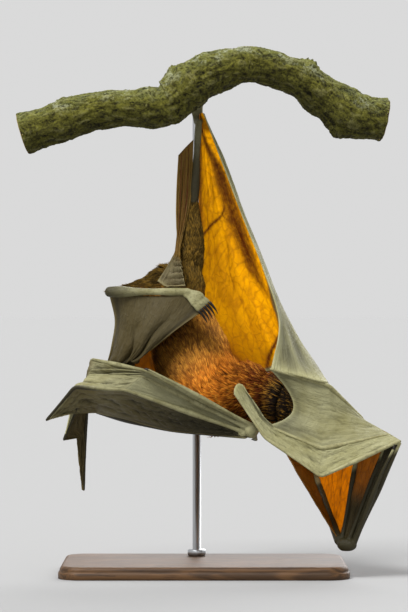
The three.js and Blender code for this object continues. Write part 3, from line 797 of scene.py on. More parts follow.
def hook(start, way, bend, length, radius, turn=1.1):
    """A claw: a cone whose middle line is part of a circle, from way towards bend through turn
    radians, flattened a little from side to side, with a thick root."""
    shares = np.linspace(0, 1, 14)
    angle = shares * turn
    way = unit(np.asarray(way, float))
    bend = unit(bend - np.dot(bend, way) * way)
    line = start + length / turn * (np.sin(angle)[:, None] * way + (1 - np.cos(angle))[:, None] * bend)
    thick = radius * (1 - shares ** 1.6) + 0.06
    thick[0] *= 0.7
    return closed_tube(tube(line, thick * 0.7, thick, 10, up=np.cross(way, bend)))


# The feet: the heel, the roots of the toes and the toe in the middle, and how far each next toe
# stands from it at the root and at the tip. The claws start along "way" and turn towards "bend".
FEET = {
    RIGHT: {
        "heel": (-5, 11, 424), "sole": [(-6, 17, 432), (-7, 20, 441)], "bones": 2.5,
        "toe": [(-7, 20, 438), (-7, 21, 447), (-7, 20.5, 455), (-6, 17.5, 466), (-5.5, 13, 471)],
        "toe_radii": [1.9, 2.3, 1.6, 2.0, 1.5],
        "root_spread": (2.0, 0, 0.5), "tip_spread": (3.6, 0, 1),
        "way": (0.1, -0.75, 0.6), "bend": (0, -0.5, -1.0),
        "claw": 11, "claw_radius": 1.5, "claw_turn": 1.1,
    },
    LEFT: {
        "heel": (-17, -46, 264), "sole": [(-12, -47, 262.5), (-8, -48, 260)], "bones": 2.0,
        "toe": [(-7, -48, 258.5), (-4.5, -49, 256), (-2, -49, 253.5), (0.5, -48.5, 251)],
        "toe_radii": [2.2, 1.3, 1.7, 1.1],
        "root_spread": (2.2, 0.3, 1.9), "tip_spread": (2.4, 0.4, 2.0),
        "way": (0.82, -0.1, -0.56), "bend": (-0.5, 0.3, -0.85),
        "claw": 15, "claw_radius": 2.1, "claw_turn": 0.5,
    },
}
SHIN_RADII = {RIGHT: [4, 4.8, 4.2, 3.1, 3.5, 3.2], LEFT: [4.4, 5.4, 3.6, 3.2, 3.7, 3.3]}
# How each bare skin is fused from its solids: the size of a voxel in mm, and rounds of smoothing.
LEG_FUSING, ARM_FUSING, BODY_FUSING = (0.75, 3), (0.8, 2), (1.35, 3)


def leg(side):
    """The bare lower leg and foot as one skin: shin with its calf and knee, five long bones that
    fan out from the heel, and five knuckled toes. The claws are their own piece."""
    line, form = LEG_LINES[side], FEET[side]
    knee, ankle = line[1], line[2]
    back = unit(line[1] - line[0])
    shin = [knee + (ankle - knee) * share for share in (0, 0.3, 0.7, 1)]
    shin = [knee - 4 * back, *shin, ankle + 3 * unit(ankle - knee)]
    solids = [limb(shin, SHIN_RADII[side], 24, rows=90)]
    claws = []
    toe = np.array(form["toe"], float)
    spreads = np.linspace(form["root_spread"], form["tip_spread"], len(toe))
    for k in range(-2, 3):
        places = toe + k * spreads
        start = np.array(form["heel"]) + k * spreads[0] * 0.35
        middle = [np.array(place) + k * spreads[0] * share for place, share in zip(form["sole"], (0.6, 0.9))]
        radii = form["bones"] * np.array([1.2, 1, 1, 0.8])
        solids.append(limb([start, *middle, places[1]], radii, 14, rows=30))
        solids.append(limb(places, form["toe_radii"], 14, rows=34))
        way = unit(places[-1] - places[-2]) + 0.6 * unit(np.array(form["way"]))
        bend = np.array(form["bend"], float)
        start = places[-1] - 1.2 * unit(way)
        claws.append(hook(start, way, bend, form["claw"], form["claw_radius"], form["claw_turn"]))
    skin = fused(f"leg_{side}_skin", solids, *LEG_FUSING)
    add_piece(skin, LEG_SKIN[side], [f"shank_{side}", f"foot_{side}"])
    add_piece(make_mesh(f"claws_{side}_foot", *joined(claws)), HORN)


for each in (RIGHT, LEFT):
    leg(each)


# ---------- Wing bones ----------

FINGER_BONES = ("metacarpal", "phalanx_1", "phalanx_2")
FOREARM_RADII = [5.2, 4.3, 4.1, 4.6, 5.6, 4.6]  # from the wrist to the elbow
WRIST_RADII = [4.6, 6.2, 6.2, 5.4, 4.0]
THUMB_RADII, SECOND_RADII, FINGER_RADII = [3.2, 2.3, 1.7], [2.4, 1.8, 1.2], [2.7, 2.2, 1.8, 1.4, 1.1]
# The claws of a wing: length, radius, and how far back from the tip of its bone each starts.
WING_CLAWS = {"thumb": (11, 2.1, 6), "digit_2": (6, 1.3, 1.5)}


def wing_arm(side):
    """Forearm, wrist, thumb and the four fingers of a wing as one bare skin over the bones."""
    lines = LINES[side]
    wrist, bent = lines["arm"][2], lines["bent"]
    label = f"wing_{side}_"
    elbow_way = unit(bent[2] - bent[1])
    shaft = [bent[0], spline(bent, 0.25), bent[1], spline(bent, 0.75)]
    shaft += [bent[2] - 4 * elbow_way, bent[2] + 3 * elbow_way]
    solids = [limb(shaft, FOREARM_RADII, 24, rows=120)]
    across = lines["digit_3"][0] - wrist
    palm = [wrist - 0.35 * across, wrist, wrist + across / 2, wrist + across, wrist + 1.3 * across]
    solids.append(limb(palm, WRIST_RADII, 24, rows=30))
    solids.append(knuckled(lines["thumb"], THUMB_RADII))
    solids.append(knuckled(lines["digit_2"], SECOND_RADII))
    for number in (3, 4, 5):
        chain = lines[f"digit_{number}"]
        solids.append(knuckled(chain, FINGER_RADII[:len(chain)]))
    skin = fused(label + "arm_skin", solids, *ARM_FUSING)
    nodes = ["forearm", "thumb", "digit_2"]
    nodes += [f"digit_{number}_{bone}" for number in (3, 4, 5) for bone in FINGER_BONES]
    add_piece(skin, ARM_SKIN[side], [label + node for node in nodes])
    claws = []
    for digit, (length, radius, back) in WING_CLAWS.items():
        chain = lines[digit]
        way = unit(chain[-1] - chain[-2])
        start = chain[-1] - back * way
        claws.append(hook(start, way, bent[1] - wrist, length, radius))
    add_piece(make_mesh(label + "claws", *joined(claws)), HORN)


for each in (RIGHT, LEFT):
    wing_arm(each)


# ---------- Wing skin ----------

SHEET_THICKNESS = 0.6
EDGE_LIGHT, EDGE_SHADE = 0.45, 0.15  # painted highlight: how much less dark a beaded edge is; painted shade: how much darker beside it
EDGE_BEAD, EDGE_BESIDE = 0.02, 0.06  # how far in the bead and the shade lie, as shares of the skin


def web(line_a, line_b, start=0.0, scallop=0.0, sag=(0, 0, 0), tip=(0, 0, 0)):
    """Skin between two chains of bones that leave one joint. u runs from one chain to the other,
    v out along them. The free edge draws in between the tips, the middle sags, and tip is how
    far the middle of the free edge stands out from its two corners."""
    def shape(u, v):
        arch = np.sin(np.pi * u)
        share = start + (1 - scallop * arch - start) * v
        a, b = trace(line_a, share), trace(line_b, share)
        sagging = np.array(sag) * (arch * np.minimum(1, 2 * v))[..., None]
        standing = np.array(tip) * (np.sqrt(arch.clip(0)) * v ** 9)[..., None]
        return a + (b - a) * u[..., None] + sagging + standing
    return shape


def drape(guides):
    """Skin through several guide lines: u runs across them and v down along them."""
    def shape(u, v):
        lines = np.array([spline(guide, v[:, 0]) for guide in guides])
        return spline(lines, u[0]).transpose(1, 0, 2)
    return shape


def patch(top, bottom, left, right):
    """Skin inside four lines: the mean way across plus the mean way down less the corners."""
    top, bottom = np.asarray(top), np.asarray(bottom)

    def shape(u, v):
        ku, kv = u[..., None], v[..., None]
        across = trace(top, u) * (1 - kv) + trace(bottom, u) * kv
        down = trace(left, v) * (1 - ku) + trace(right, v) * ku
        above, below = (line[0] * (1 - ku) + line[-1] * ku for line in (top, bottom))
        return across + down - (above * (1 - kv) + below * kv)
    return shape


def creases(across, rise, seed, along=0.35, edge=0.12):
    """Folds that run out along the skin: waves across it, bent by noise, that fade at its edges.
    rise is their height in mm."""
    def relief(u, v):
        places = np.stack([u * across, v * across * along], -1)
        folds = ripples(places, 1.0, seed, 5)
        folds = folds * 0.7 + 0.45 * (1 - 2 * np.abs(ripples(places * 2.3, 1.0, seed + 1, 5)))
        fade = np.clip(np.minimum(u, 1 - u) / edge, 0, 1) * np.clip(v / 0.1, 0, 1)
        return rise * folds * fade * (0.3 + 0.7 * np.clip((1 - v) / 0.08, 0, 1))
    return relief


def gathers(count, rise, seed, start=0.2):
    """Pleats that deepen towards the gathered end, where v is 1."""
    def relief(u, v):
        sway = 0.05 * ripples(np.stack([u * 3, v * 2], -1), 1.0, seed, 4)
        pleats = 1 - 2 * np.abs(np.sin(np.pi * count * (u + sway)))
        return rise * pleats * step(start, 1, v) * np.clip(np.minimum(u, 1 - u) / 0.06, 0, 1)
    return relief


def rungs(count, rise, start):
    """Pleats that lie across the skin, one below the other, towards its lower right corner."""
    def relief(u, v):
        pleats = 1 - 2 * np.abs(np.sin(np.pi * count * (v + 0.04 * u)))
        return rise * pleats * step(start, start + 0.1, v) * step(0.15, 0.6, u)
    return relief


def twisted(count, rise):
    """Strands that wind round the first third of the skin as in a twisted cloth."""
    def relief(u, v):
        strands = 1 - 2 * np.abs(np.sin(np.pi * count * (u + 1.4 * v)))
        return rise * strands * step(0, 0.06, v) * (1 - step(0.3, 0.4, v)) * np.sin(np.pi * u) ** 0.5
    return relief


def curve_marks(u, v, middle, curves):
    """How dark each place of a sheet is drawn by curves over it. A stop of a curve is u, v, half
    width in mm and strength; the mark is strength * exp(-(distance / half width)^2), where the
    distance is measured in mm with the sheet's own width and length there."""
    across = np.linalg.norm(np.diff(middle, axis=1), axis=-1).sum(1)[:, None]
    down = np.linalg.norm(np.diff(middle, axis=0), axis=-1).sum(0)[None]
    marks = np.zeros_like(u)
    for stops in curves:
        line = spline(stops, np.linspace(0, 1, 7 * len(stops)))
        for a, b in zip(line, line[1:]):
            off = (u - a[0]) * across, (v - a[1]) * down
            way = (b[0] - a[0]) * across, (b[1] - a[1]) * down
            t = np.clip((off[0] * way[0] + off[1] * way[1]) / (way[0] ** 2 + way[1] ** 2 + 1e-9), 0, 1)
            far = np.hypot(off[0] - t * way[0], off[1] - t * way[1])
            wide, strength = a[2] + t * (b[2] - a[2]), a[3] + t * (b[3] - a[3])
            marks = np.maximum(marks, strength * hump(far, 0, wide))
    return marks


def sheet(name, shape, reliefs, rows, columns, thick=1.0, brown=0.0, dark=0.36, curves=(),
          finish=WING_SKIN, ends=True):
    """A closed slab of skin, which stands for the node of that name: the shape's middle is moved
    along its normal by the reliefs, and its edges are a bead twice as thick, lighter as a painted
    highlight, with a band of painted shade beside it. thick is 0 where light comes through and 1
    where none does, brown and dark are 1 where it is brown and dark, the dark partly its own tone
    and partly painted shade; each may be a function of u, v and place. ends is false where the
    sheet goes on into the next one, with no bead."""
    u, v = np.meshgrid(np.linspace(0, 1, columns), np.linspace(0, 1, rows))
    middle = shape(u, v)
    normal = unit(np.cross(np.gradient(middle, axis=1), np.gradient(middle, axis=0)))
    lift = sum(relief(u, v) for relief in reliefs)
    middle = middle + normal * lift[..., None]
    rim = np.minimum(np.minimum(u, 1 - u), 1 - v if ends else 1)
    bead = hump(rim, 0, EDGE_BEAD)
    beside = hump(rim, EDGE_BESIDE, 0.025)
    mesh = make_mesh(name + "_skin", *slab(middle, SHEET_THICKNESS / 2 * (1 + bead[..., None])))
    deep = lift / max(0.75 * np.abs(lift).max(), 1.5)
    hollow = np.clip([-deep, deep], 0, 1).ravel() ** 1.2
    add_numbers(mesh, "Hollow", hollow)
    for number, value in (("Thick", thick), ("Brown", brown), ("Dark", dark)):
        spread = value(u, v, middle) if callable(value) else np.full(u.shape, value)
        if number == "Dark":
            # Painted highlight on the bead and painted shade just inside it.
            spread = spread - EDGE_LIGHT * bead + EDGE_SHADE * beside
        add_numbers(mesh, number, np.tile(spread.ravel(), 2))
    add_numbers(mesh, "VeinAndFoldShade", np.tile(curve_marks(u, v, middle, curves).ravel(), 2))
    add_uv(mesh, "Span", np.tile(np.stack([u.ravel(), v.ravel()], -1), (2, 1)))
    add_piece(mesh, finish, [name])


# Guide lines of the skin between leg, body and arm, each from the ankle or the shin down.
RIGHT_FLANK = [
    [(-4, 9, 433), (-4, 12, 385), (-5, 12, 338), (-6, 10, 286), (-4, 10, 241), (40, 6, 188)],
    [(-3, 11, 434), (5, 22, 386), (17, 34, 339), (34, 45, 288), (56, 53, 240), (83, 54, 189)],
    [(-1, 9, 434), (21, 18, 385), (37, 22, 338), (58, 21, 286), (80, 10, 238), (115, -31, 180)],
    [(0, 6, 433), (19, 9, 383), (37, 4, 335), (56, -8, 286), (70, -25, 237), (62, -49, 194)],
]
LEFT_LEG = [
    [(-88, -24, 262.5), (-83, -16, 238), (-87, -8, 213), (-93, 6, 192), (-98, 17, 170)],
    [(-63, -32, 261.5), (-67, -34, 234), (-72, -31, 211), (-81, -14, 190), (-88, 4, 170)],
    [(-37, -40, 261), (-50, -45, 234), (-62, -39, 211), (-74, -22, 192), (-81, -3, 173)],
    [(-18, -45.5, 262), (-36, -46, 234), (-55, -41, 211), (-72, -27, 194), (-79, -8, 175)],
    [(-3, -47, 246), (-27, -47, 229), (-51, -41, 210), (-69, -31, 198), (-77, -12, 177)],
]
LEFT_FLANK = [
    [(-87, -22, 259), (-82, -12, 238), (-86, -4, 213), (-92, 9, 192), (-97, 20, 170)],
    [(-60, 2, 258), (-60, 10, 234), (-62, 15, 210), (-64, 19, 187), (-66, 22, 165)],
    [(-36, 10, 258), (-43, 10, 234), (-44, 12, 210), (-38, 14, 187), (-30, 15, 167)],
]
TAIL_SKIN = [
    [(-24, 4, 394), (-26, 4, 352), (-26, -1, 311), (-31, -14, 295), (-43, -37, 275)],
    [(-17, 7, 402), (-19, 7, 352), (-24, -3, 309), (-26, -20, 292), (-33, -41, 269.5)],
    [(-10, 9, 409), (-13, 10, 352), (-22, -5, 308), (-21, -26, 290), (-17, -44, 269)],
]
# Dark veins of the right flank, and painted shade along its folds and edges: stops of u, v, half width in mm
# and strength.
FLANK_MARKS = [
    [
        (0, 0.49, 1.4, 0.9), (0.155, 0.44, 1.2, 0.9), (0.335, 0.4, 1, 0.85),
        (0.455, 0.345, 0.8, 0.65), (0.53, 0.305, 0.7, 0.4),
    ],
    [(0.335, 0.4, 0.9, 0.65), (0.465, 0.45, 0.8, 0.5), (0.575, 0.49, 0.7, 0.3)],
    [(0.165, 0.985, 1.7, 0.95), (0.26, 0.93, 1.5, 1), (0.41, 0.86, 1.2, 0.85)],
    [(0.07, 0.03, 2, 0.7), (0.3, 0.1, 2.2, 0.8), (0.425, 0.165, 2.8, 0.85), (0.48, 0.225, 4.5, 0.8)],
    [
        (0.48, 0.225, 4.5, 0.8), (0.49, 0.345, 8, 0.75), (0.49, 0.495, 9, 0.82),
        (0.48, 0.605, 8, 0.7), (0.51, 0.685, 5, 0.4),
    ],
    [(0.02, 0.02, 2.5, 0.5), (0.01, 0.3, 2.5, 0.45), (0.01, 0.6, 3, 0.4), (0.02, 0.98, 4, 0.5)],
    [(0.1, 0.02, 5, 0.5), (0.3, 0.02, 6, 0.55), (0.6, 0.06, 6, 0.5)],
    [(0.2, 0.3, 0.6, 0.25), (0.12, 0.4, 0.6, 0.3), (0.1, 0.6, 0.6, 0.2)],
    [(0.3, 0.5, 0.6, 0.2), (0.24, 0.62, 0.6, 0.3), (0.25, 0.78, 0.6, 0.25), (0.2, 0.92, 0.6, 0.3)],
]
# Lines down the tail skin, the same way, from where each starts across it and its strength.
TAIL_MARKS = [
    [(across, 0, 0.8, strength), (across + 0.03, 0.3, 1.0, strength), (across, 0.58, 0.5, 0.1)]
    for across, strength in ((0.2, 0.7), (0.45, 0.4), (0.68, 0.8))
]
# Ribs of the right wing below the forearm, from where each starts across it.
RIB_MARKS = [[(a, 0.5, 0.7, 0.5), (a + 0.02, 0.75, 0.6, 0.45), (0.9, 1, 0.5, 0.3)] for a in (0.5, 0.68, 0.84)]
# The edge of the skin along each third finger, where it goes on beyond the fourth's bones.
RIGHT_RIBBON = [(68, -59, 138), (55, -60, 150), (45, -59, 165), (37.5, -58, 175)]
LEFT_FLAP = [(-120, 3, 128), (-115, 9, 79)]
LEFT_CORNER = (-129, -24, 151)  # the outer corner of the left wing's folded skin
HAND_OVER = np.array([0, -4.5, -3.2])  # how far that skin lies in front of the forearm
PALM_START = 0.03  # where the skin of a palm starts, as a share of the bones from the wrist


def flank_thick(u, v, place):
    """The right flank is thin up to the line where it curls forward, and thick beyond it."""
    stops = [0, 0.425, 0.57, 0.725, 0.815, 0.895, 0.945, 0.975, 1]
    edge = np.interp(v, stops, [0.68, 0.67, 0.65, 0.53, 0.465, 0.385, 0.33, 0.24, 0.05])
    return step(-0.015, 0.03, u - edge)


def above_tips(place):
    """1 above the tips of the right hand's fingers, 0 below them, and smooth between."""
    return step(150, 172, place[..., 2])


def lower_thick(u, v, place):
    """The skin between the forearm and the fifth finger is thin below the hand's tips."""
    return 0.05 + 0.95 * above_tips(place)


def lower_brown(u, v, place):
    """The same skin is browner where it is thin."""
    return 0.35 * (1 - above_tips(place))


def lower_dark(u, v, place):
    """The same skin is pale where it is thick, and darker below."""
    return 0.25 + 0.08 * (1 - above_tips(place))


def ribbon_dark(u, v, place):
    """The ribbon of skin along the third finger is pale, with painted shade inside its curled end."""
    return 0.05 + 0.8 * hump(u, 0.16, 0.13) * step(0.66, 0.8, v) * (1 - step(0.93, 0.98, v))


def palm_thick_and_shade(u, v, place):
    """The right palm is thin near its knuckles and thick towards the wrist; the same number, used for Dark,
    paints the shade that lies there.
    """
    return 0.45 + 0.55 * (1 - step(62, 92, place[..., 2]))


def tips_dark(u, v, place):
    """The skin between the right fingertips has painted shade where it curves in beside the neck."""
    return 0.3 + 0.4 * (1 - step(72, 104, place[..., 0]))


def flap_brown(u, v, place):
    """The left third finger's skin is grey across the top of the hand and brown where it hangs."""
    return 0.15 + 0.6 * step(0.34, 0.44, v)


def flap_dark(u, v, place):
    """The same skin is darker where it hangs."""
    return 0.45 + 0.4 * step(0.34, 0.44, v)


def hand_dark(u, v, place):
    """The left hand's lower skin is brown by the fingertips and nearly black by the wrist, where painted
    shade darkens its underside; it is a little darker across its middle.
    """
    return np.interp(place[..., 0], [-110, -60, -20, 40], [0.45, 0.78, 1.02, 1.1]) + 0.1 * np.sin(np.pi * u)


def palm_dark(u, v, place):
    """The left palm is pale by the fingertips and darker towards the wrist."""
    return np.interp(place[..., 0], [-110, -70, 30], [0.12, 0.35, 0.72])


def tail_brown(u, v, place):
    """The tail skin is brown beside the leg and grey where it spreads at its lower end."""
    return 1 - 0.95 * step(0.62, 0.78, v)


def tail_dark(u, v, place):
    """It is pale brown above and dark grey at its lower end."""
    return 0.1 + 0.68 * step(0.6, 0.75, v)


def fingers(side):
    """The arm from shoulder to wrist and the third, fourth and fifth fingers of a wing."""
    return [LINES[side][name] for name in ("arm", "digit_3", "digit_4", "digit_5")]


def right_wing():
    """The right wing's skin: from leg to arm, below the forearm, before the elbow, over the palm,
    and between the fingertips."""
    label = "wing_right_"
    arm, d3, d4, d5 = fingers(RIGHT)
    flank = [creases(3, 1.1, 21), creases(11, 0.3, 22)]
    upper = drape(RIGHT_FLANK)
    sheet(label + "plagiopatagium_upper", upper, flank, 176, 110, flank_thick, dark=0.42, curves=FLANK_MARKS)
    top = [np.array(guide[-1], float) for guide in RIGHT_FLANK[:3]]
    lower = patch([arm[0], *top[1:]], arm[1:], arm[:2], [top[-1], d5[1], arm[2]])
    folds = [creases(4, 0.7, 23), creases(14, 0.25, 24)]
    looks = {"thick": lower_thick, "brown": lower_brown, "dark": lower_dark}
    looks |= {"curves": RIB_MARKS, "finish": DEEP_SKIN}
    sheet(label + "plagiopatagium_lower", lower, folds, 120, 96, **looks)
    front = web(arm[1::-1], LINES[RIGHT]["bent"][::-1], 0.06, 0.04, (-3, -3, -3))
    sheet(label + "propatagium", front, [creases(4, 1.2, 25), creases(12, 0.4, 26)], 64, 44, 0.6, 1.0, 0.5)
    inner = web(d5[:2], d4[:2], PALM_START)
    looks = {"thick": palm_thick_and_shade, "brown": 0.8, "dark": palm_thick_and_shade, "finish": DEEP_SKIN}
    sheet(label + "palm_45", inner, [creases(2, 0.9, 27)], 90, 30, **looks)
    outer = web(d4[:2], d3[:2], PALM_START)
    # Painted shade: this palm lies in shadow below the hand.
    sheet(label + "palm_34", outer, [creases(2, 0.9, 28)], 90, 30, 1.0, 0.5, 1.1)
    tips = web(d5[1:], d4[1:], 0, 0.22, (0, 7, 0))
    sheet(label + "tips_45", tips, [creases(3, 0.6, 29), creases(14, 0.16, 30)], 96, 84, dark=tips_dark)
    ribbon = web(np.array([*d4[1:3], *RIGHT_RIBBON]), d3[1:], sag=(0, 3, 0), tip=(-1, 0, 7))
    curls = [creases(3, 0.7, 31, 2.0), creases(8, 0.25, 32, 2.0)]
    sheet(label + "tips_34", ribbon, curls, 144, 46, dark=ribbon_dark)


def left_wing():
    """The left wing's skin: the curtain and the flank below the arm, the folds over the forearm,
    before the elbow, over the palm, and what hangs between the fingertips."""
    label = "wing_left_"
    arm, d3, d4, d5 = fingers(LEFT)
    bent = LINES[LEFT]["bent"]
    curtain = [gathers(3, 7.0, 41, 0.0), gathers(9, 1.0, 40), creases(11, 0.3, 42)]
    # The curtain is dark, partly its own brown and partly painted shade.
    sheet(label + "plagiopatagium_leg", drape(LEFT_LEG), curtain, 120, 104, 1.0, 0.7, 0.93)
    flank = [creases(3, 2.2, 43), creases(10, 0.7, 44)]
    looks = {"thick": 0.6, "brown": 0.3, "dark": 0.5, "finish": DEEP_SKIN}
    sheet(label + "plagiopatagium_flank", drape(LEFT_FLANK), flank, 70, 46, **looks)
    hand = web(d5, np.array([*(bent + HAND_OVER), LEFT_CORNER]))
    folds = [creases(5, 1.6, 45, 1.2, 0.3), creases(13, 0.6, 46, 1.0, 0.3)]
    sheet(label + "plagiopatagium_hand", hand, folds, 150, 66, 1.0, 0.45, hand_dark)
    front = web(arm[1::-1], bent[::-1], 0.06, 0.04, (0, 0, -9))
    sheet(label + "propatagium", front, [creases(4, 1.1, 47), creases(11, 0.5, 39)], 80, 44, 1.0, 0.3, 1.0)
    for gap, line_a, line_b, rise, seed in (("45", d5, d4, 0.5, 48), ("34", d4, d3, 0.8, 49)):
        palm = web(line_a[:2], line_b[:2], PALM_START)
        sheet(f"{label}palm_{gap}", palm, [creases(2, rise, seed)], 90, 26, dark=palm_dark, ends=False)
    twists = [creases(2.4, 1.6, 50, 0.3), creases(7, 0.5, 51)]
    sheet(label + "tips_45", web(d5[1:], d4[1:], 0, 0.35), twists, 76, 66, 1.0, 0.1, palm_dark)
    flap = web(np.array([*d4[1:], *LEFT_FLAP]), d3[1:])
    strips = [twisted(2.5, 1.8), creases(3, 0.9, 52, 2.0), creases(8, 0.4, 53, 2.0)]
    sheet(label + "tips_34", flap, strips, 144, 46, 1.0, flap_brown, flap_dark)


right_wing()
left_wing()
tail_pleats = [rungs(15, 2.2, 0.62), creases(5, 0.9, 62), creases(12, 0.3, 63)]
sheet("tail_skin", drape(TAIL_SKIN), tail_pleats, 144, 46, 0.9, tail_brown, tail_dark, TAIL_MARKS)


# ---------- Body ----------

# Each part of the flesh is an oval tube: stops of place, half width, half depth. The width lies
# across the path in the X-Z plane. These are the sizes out to the tips of the coat.
TRUNK = [
    (-16, 8, 304, 8, 7), (-17, 7, 290, 18, 16), (-19, 6, 272, 25, 23), (-23, 4, 246, 31, 29),
    (-15, 1, 216, 36, 35), (-4, 0, 190, 38, 37), (4, 0, 164, 34, 34), (8, 0, 145, 25, 26),
    (10, 0, 131, 8, 8),
]
SHOULDERS = [
    (-20, 0, 172, 14, 14), (-6, 0, 170, 32, 31), (12, 1, 168, 37, 36), (26, 1, 168, 34, 32),
    (46, 0, 169, 29.5, 27.5), (66, -2, 165, 22, 22),
]
BREAST = [(2, 0, 206, 20, 30), (18, 0, 190, 20, 33), (34, 0, 176, 20, 31)]  # fills the bend between them
HEAD_ORIGIN = np.array([67.5, -2, 165])
HEAD_AXIS = unit(np.array(HEAD_WAY))
HEAD_UP = unit(np.array([0.2304, 0.9697, -0.0802]))  # +Y, made square to the axis
HEAD_RIGHT = np.cross(HEAD_AXIS, HEAD_UP)
# The head: distance along its axis, half width, height above the axis and depth below it.
HEAD = [
    (-9, 19, 19, 17), (2, 19, 18.5, 16.5), (10, 18, 18, 15.5), (17, 16.8, 16.6, 14.5),
    (23, 14.6, 14, 13.4), (29, 12, 11, 12.2), (35, 9.8, 8.8, 10.8), (42, 8.3, 7.6, 9.4),
    (49, 7.6, 7.2, 8.4), (55, 7, 6.9, 7.2), (59, 5.9, 5.6, 5.2), (61.5, 3.6, 3.4, 3),
]
# Bumps and dents of the skull: distance along the axis and turn up from its side, how far each
# reaches both ways, in mm and radians, and its height in mm.
SWELLINGS = {
    "brow": (24, 0.95, 4.5, 0.3, 1.3),
    "eye_hollow": (27, 0.35, 3.6, 0.3, -2.2),
    "cheek": (17, -0.1, 6, 0.5, 1.0),
    "muzzle_pad": (33, -0.15, 4, 0.35, 0.7),
}
HEAD_COAT = 1.4  # how far the skull lies under the sizes of the HEAD table, in mm
# How deep the coat is over each other part, in mm.
DEPTH = {
    "trunk": 5.5, "breast": 5.5, "shoulders": 6.0,
    "thigh_right": 2.6, "thigh_left": 4.0, "arm_right": 3.4, "arm_left": 3.4,
}
EYE_RADIUS, EYE_PLACE, EYE_ASIDE = 5.2, (93, -2.5, 157.5), 9.5  # the place is halfway between them


def head_point(ahead, aside, above):
    """A place in the head's own frame: along its axis, to its right, and towards its crown."""
    ahead, aside, above = (np.asarray(part, float)[..., None] for part in (ahead, aside, above))
    return HEAD_ORIGIN + ahead * HEAD_AXIS + aside * HEAD_RIGHT + above * HEAD_UP


def head_surface(rows=120, around=96):
    """Rings of a skull and muzzle. Each ring is oval, taller above than below by the HEAD table,
    with a brow over each eye, a hollow round it, a groove for the mouth, lips, and nostrils that
    stand out to both sides of the nose."""
    stops = np.array(HEAD, float)
    t = np.linspace(0, 1, rows)
    ahead = profile(stops[:, 0], t)[:, None]
    wide, above, below = (profile(stops[:, k], t)[:, None] - HEAD_COAT for k in (1, 2, 3))
    a = np.linspace(0, 2 * np.pi, around, endpoint=False)[None]
    side, up = np.cos(a), np.sin(a)
    x = wide * np.sign(side) * np.abs(side) ** 0.92
    y = np.where(up > 0, above, below) * up
    turn, tilt = np.arctan2(up, side), np.arctan2(up, np.abs(side))
    lift = 0
    for at, angle, long, broad, rise in SWELLINGS.values():
        twin = np.copysign(np.pi, angle) - angle
        lift = lift + rise * hump(ahead, at, long) * (hump(turn, angle, broad) + hump(turn, twin, broad))
    mouth = hump(tilt, -0.62, 0.055) * step(24, 30, ahead) * (1 - step(58, 61, ahead))
    lips = hump(tilt, -0.45, 0.14) * step(28, 36, ahead) * (1 - step(57, 60, ahead))
    nostril = hump(ahead, 59, 1.7) * hump(tilt, 0.35, 0.45)
    hole = hump(ahead, 59.8, 0.8) * hump(tilt, 0.32, 0.2)
    cleft = hump(side, 0, 0.16) * (up > 0) * step(55.5, 58.5, ahead)
    lift = lift - 1.5 * mouth + 0.6 * lips + 1.5 * nostril - 2.2 * hole - 0.9 * cleft
    scale = 1 + lift / np.hypot(x, y).clip(2)
    return head_point(np.broadcast_to(ahead, x.shape), x * scale, y * scale)


def oval_limb(stops, depth, around=40, rows=90):
    """One part of the flesh, drawn in from its full size by the depth of the coat."""
    stops = np.array(stops, float)
    wide, deep = (np.maximum(stops[:, k] - depth, 1.5) for k in (3, 4))
    return limb(stops[:, :3], wide, around, deep, rows=rows)


def over_bone(line, offsets, radii):
    """Stops of a round limb over the first bone of a chain: one before its first joint, one at
    it, one halfway, and two by its second joint, at offsets in mm along the bone."""
    start, end = line[:2]
    way = unit(end - start)
    before, near, last = offsets
    places = [start + before * way, start, (start + end) / 2, end + near * way, end + last * way]
    return [(*place, radius, radius) for place, radius in zip(places, radii)]


THIGH_OFFSETS, ARM_OFFSETS, ARM_RADII = (-8, -5, -1), (-14, -4, 3), (11, 12, 9, 8, 7)
FLESH = {
    "trunk": TRUNK,
    "breast": BREAST,
    "shoulders": SHOULDERS,
    "thigh_right": over_bone(LEG_LINES[RIGHT], THIGH_OFFSETS, (9, 13, 13, 9, 6)),
    "thigh_left": over_bone(LEG_LINES[LEFT], THIGH_OFFSETS, (20, 22, 14, 8, 4)),
    "arm_right": over_bone(LINES[RIGHT]["arm"], ARM_OFFSETS, ARM_RADII),
    "arm_left": over_bone(LINES[LEFT]["arm"], ARM_OFFSETS, ARM_RADII),
}
# Bends of the body's skin that are softened: the place, how far that reaches in mm, and rounds.
BENDS = {
    "under_right_arm": ((22, -4, 190), 48, 110),
    "hip": ((-14, 4, 296), 34, 60),
    "throat": ((60, -16, 166), 24, 45),
}
FLESH_NODES = ["trunk", "neck", "head", "thigh_right", "thigh_left"]
FLESH_NODES += ["wing_right_upper_arm", "wing_left_upper_arm"]


def body_skin():
    """One skin over trunk, shoulders, neck, head, thighs and upper arms."""
    solids = []
    for name, stops in FLESH.items():
        solids.append(oval_limb(stops, DEPTH[name], 64 if name in ("trunk", "shoulders") else 36))
    solids.append(closed_tube(head_surface()))
    return fused("body_skin", solids, *BODY_FUSING)


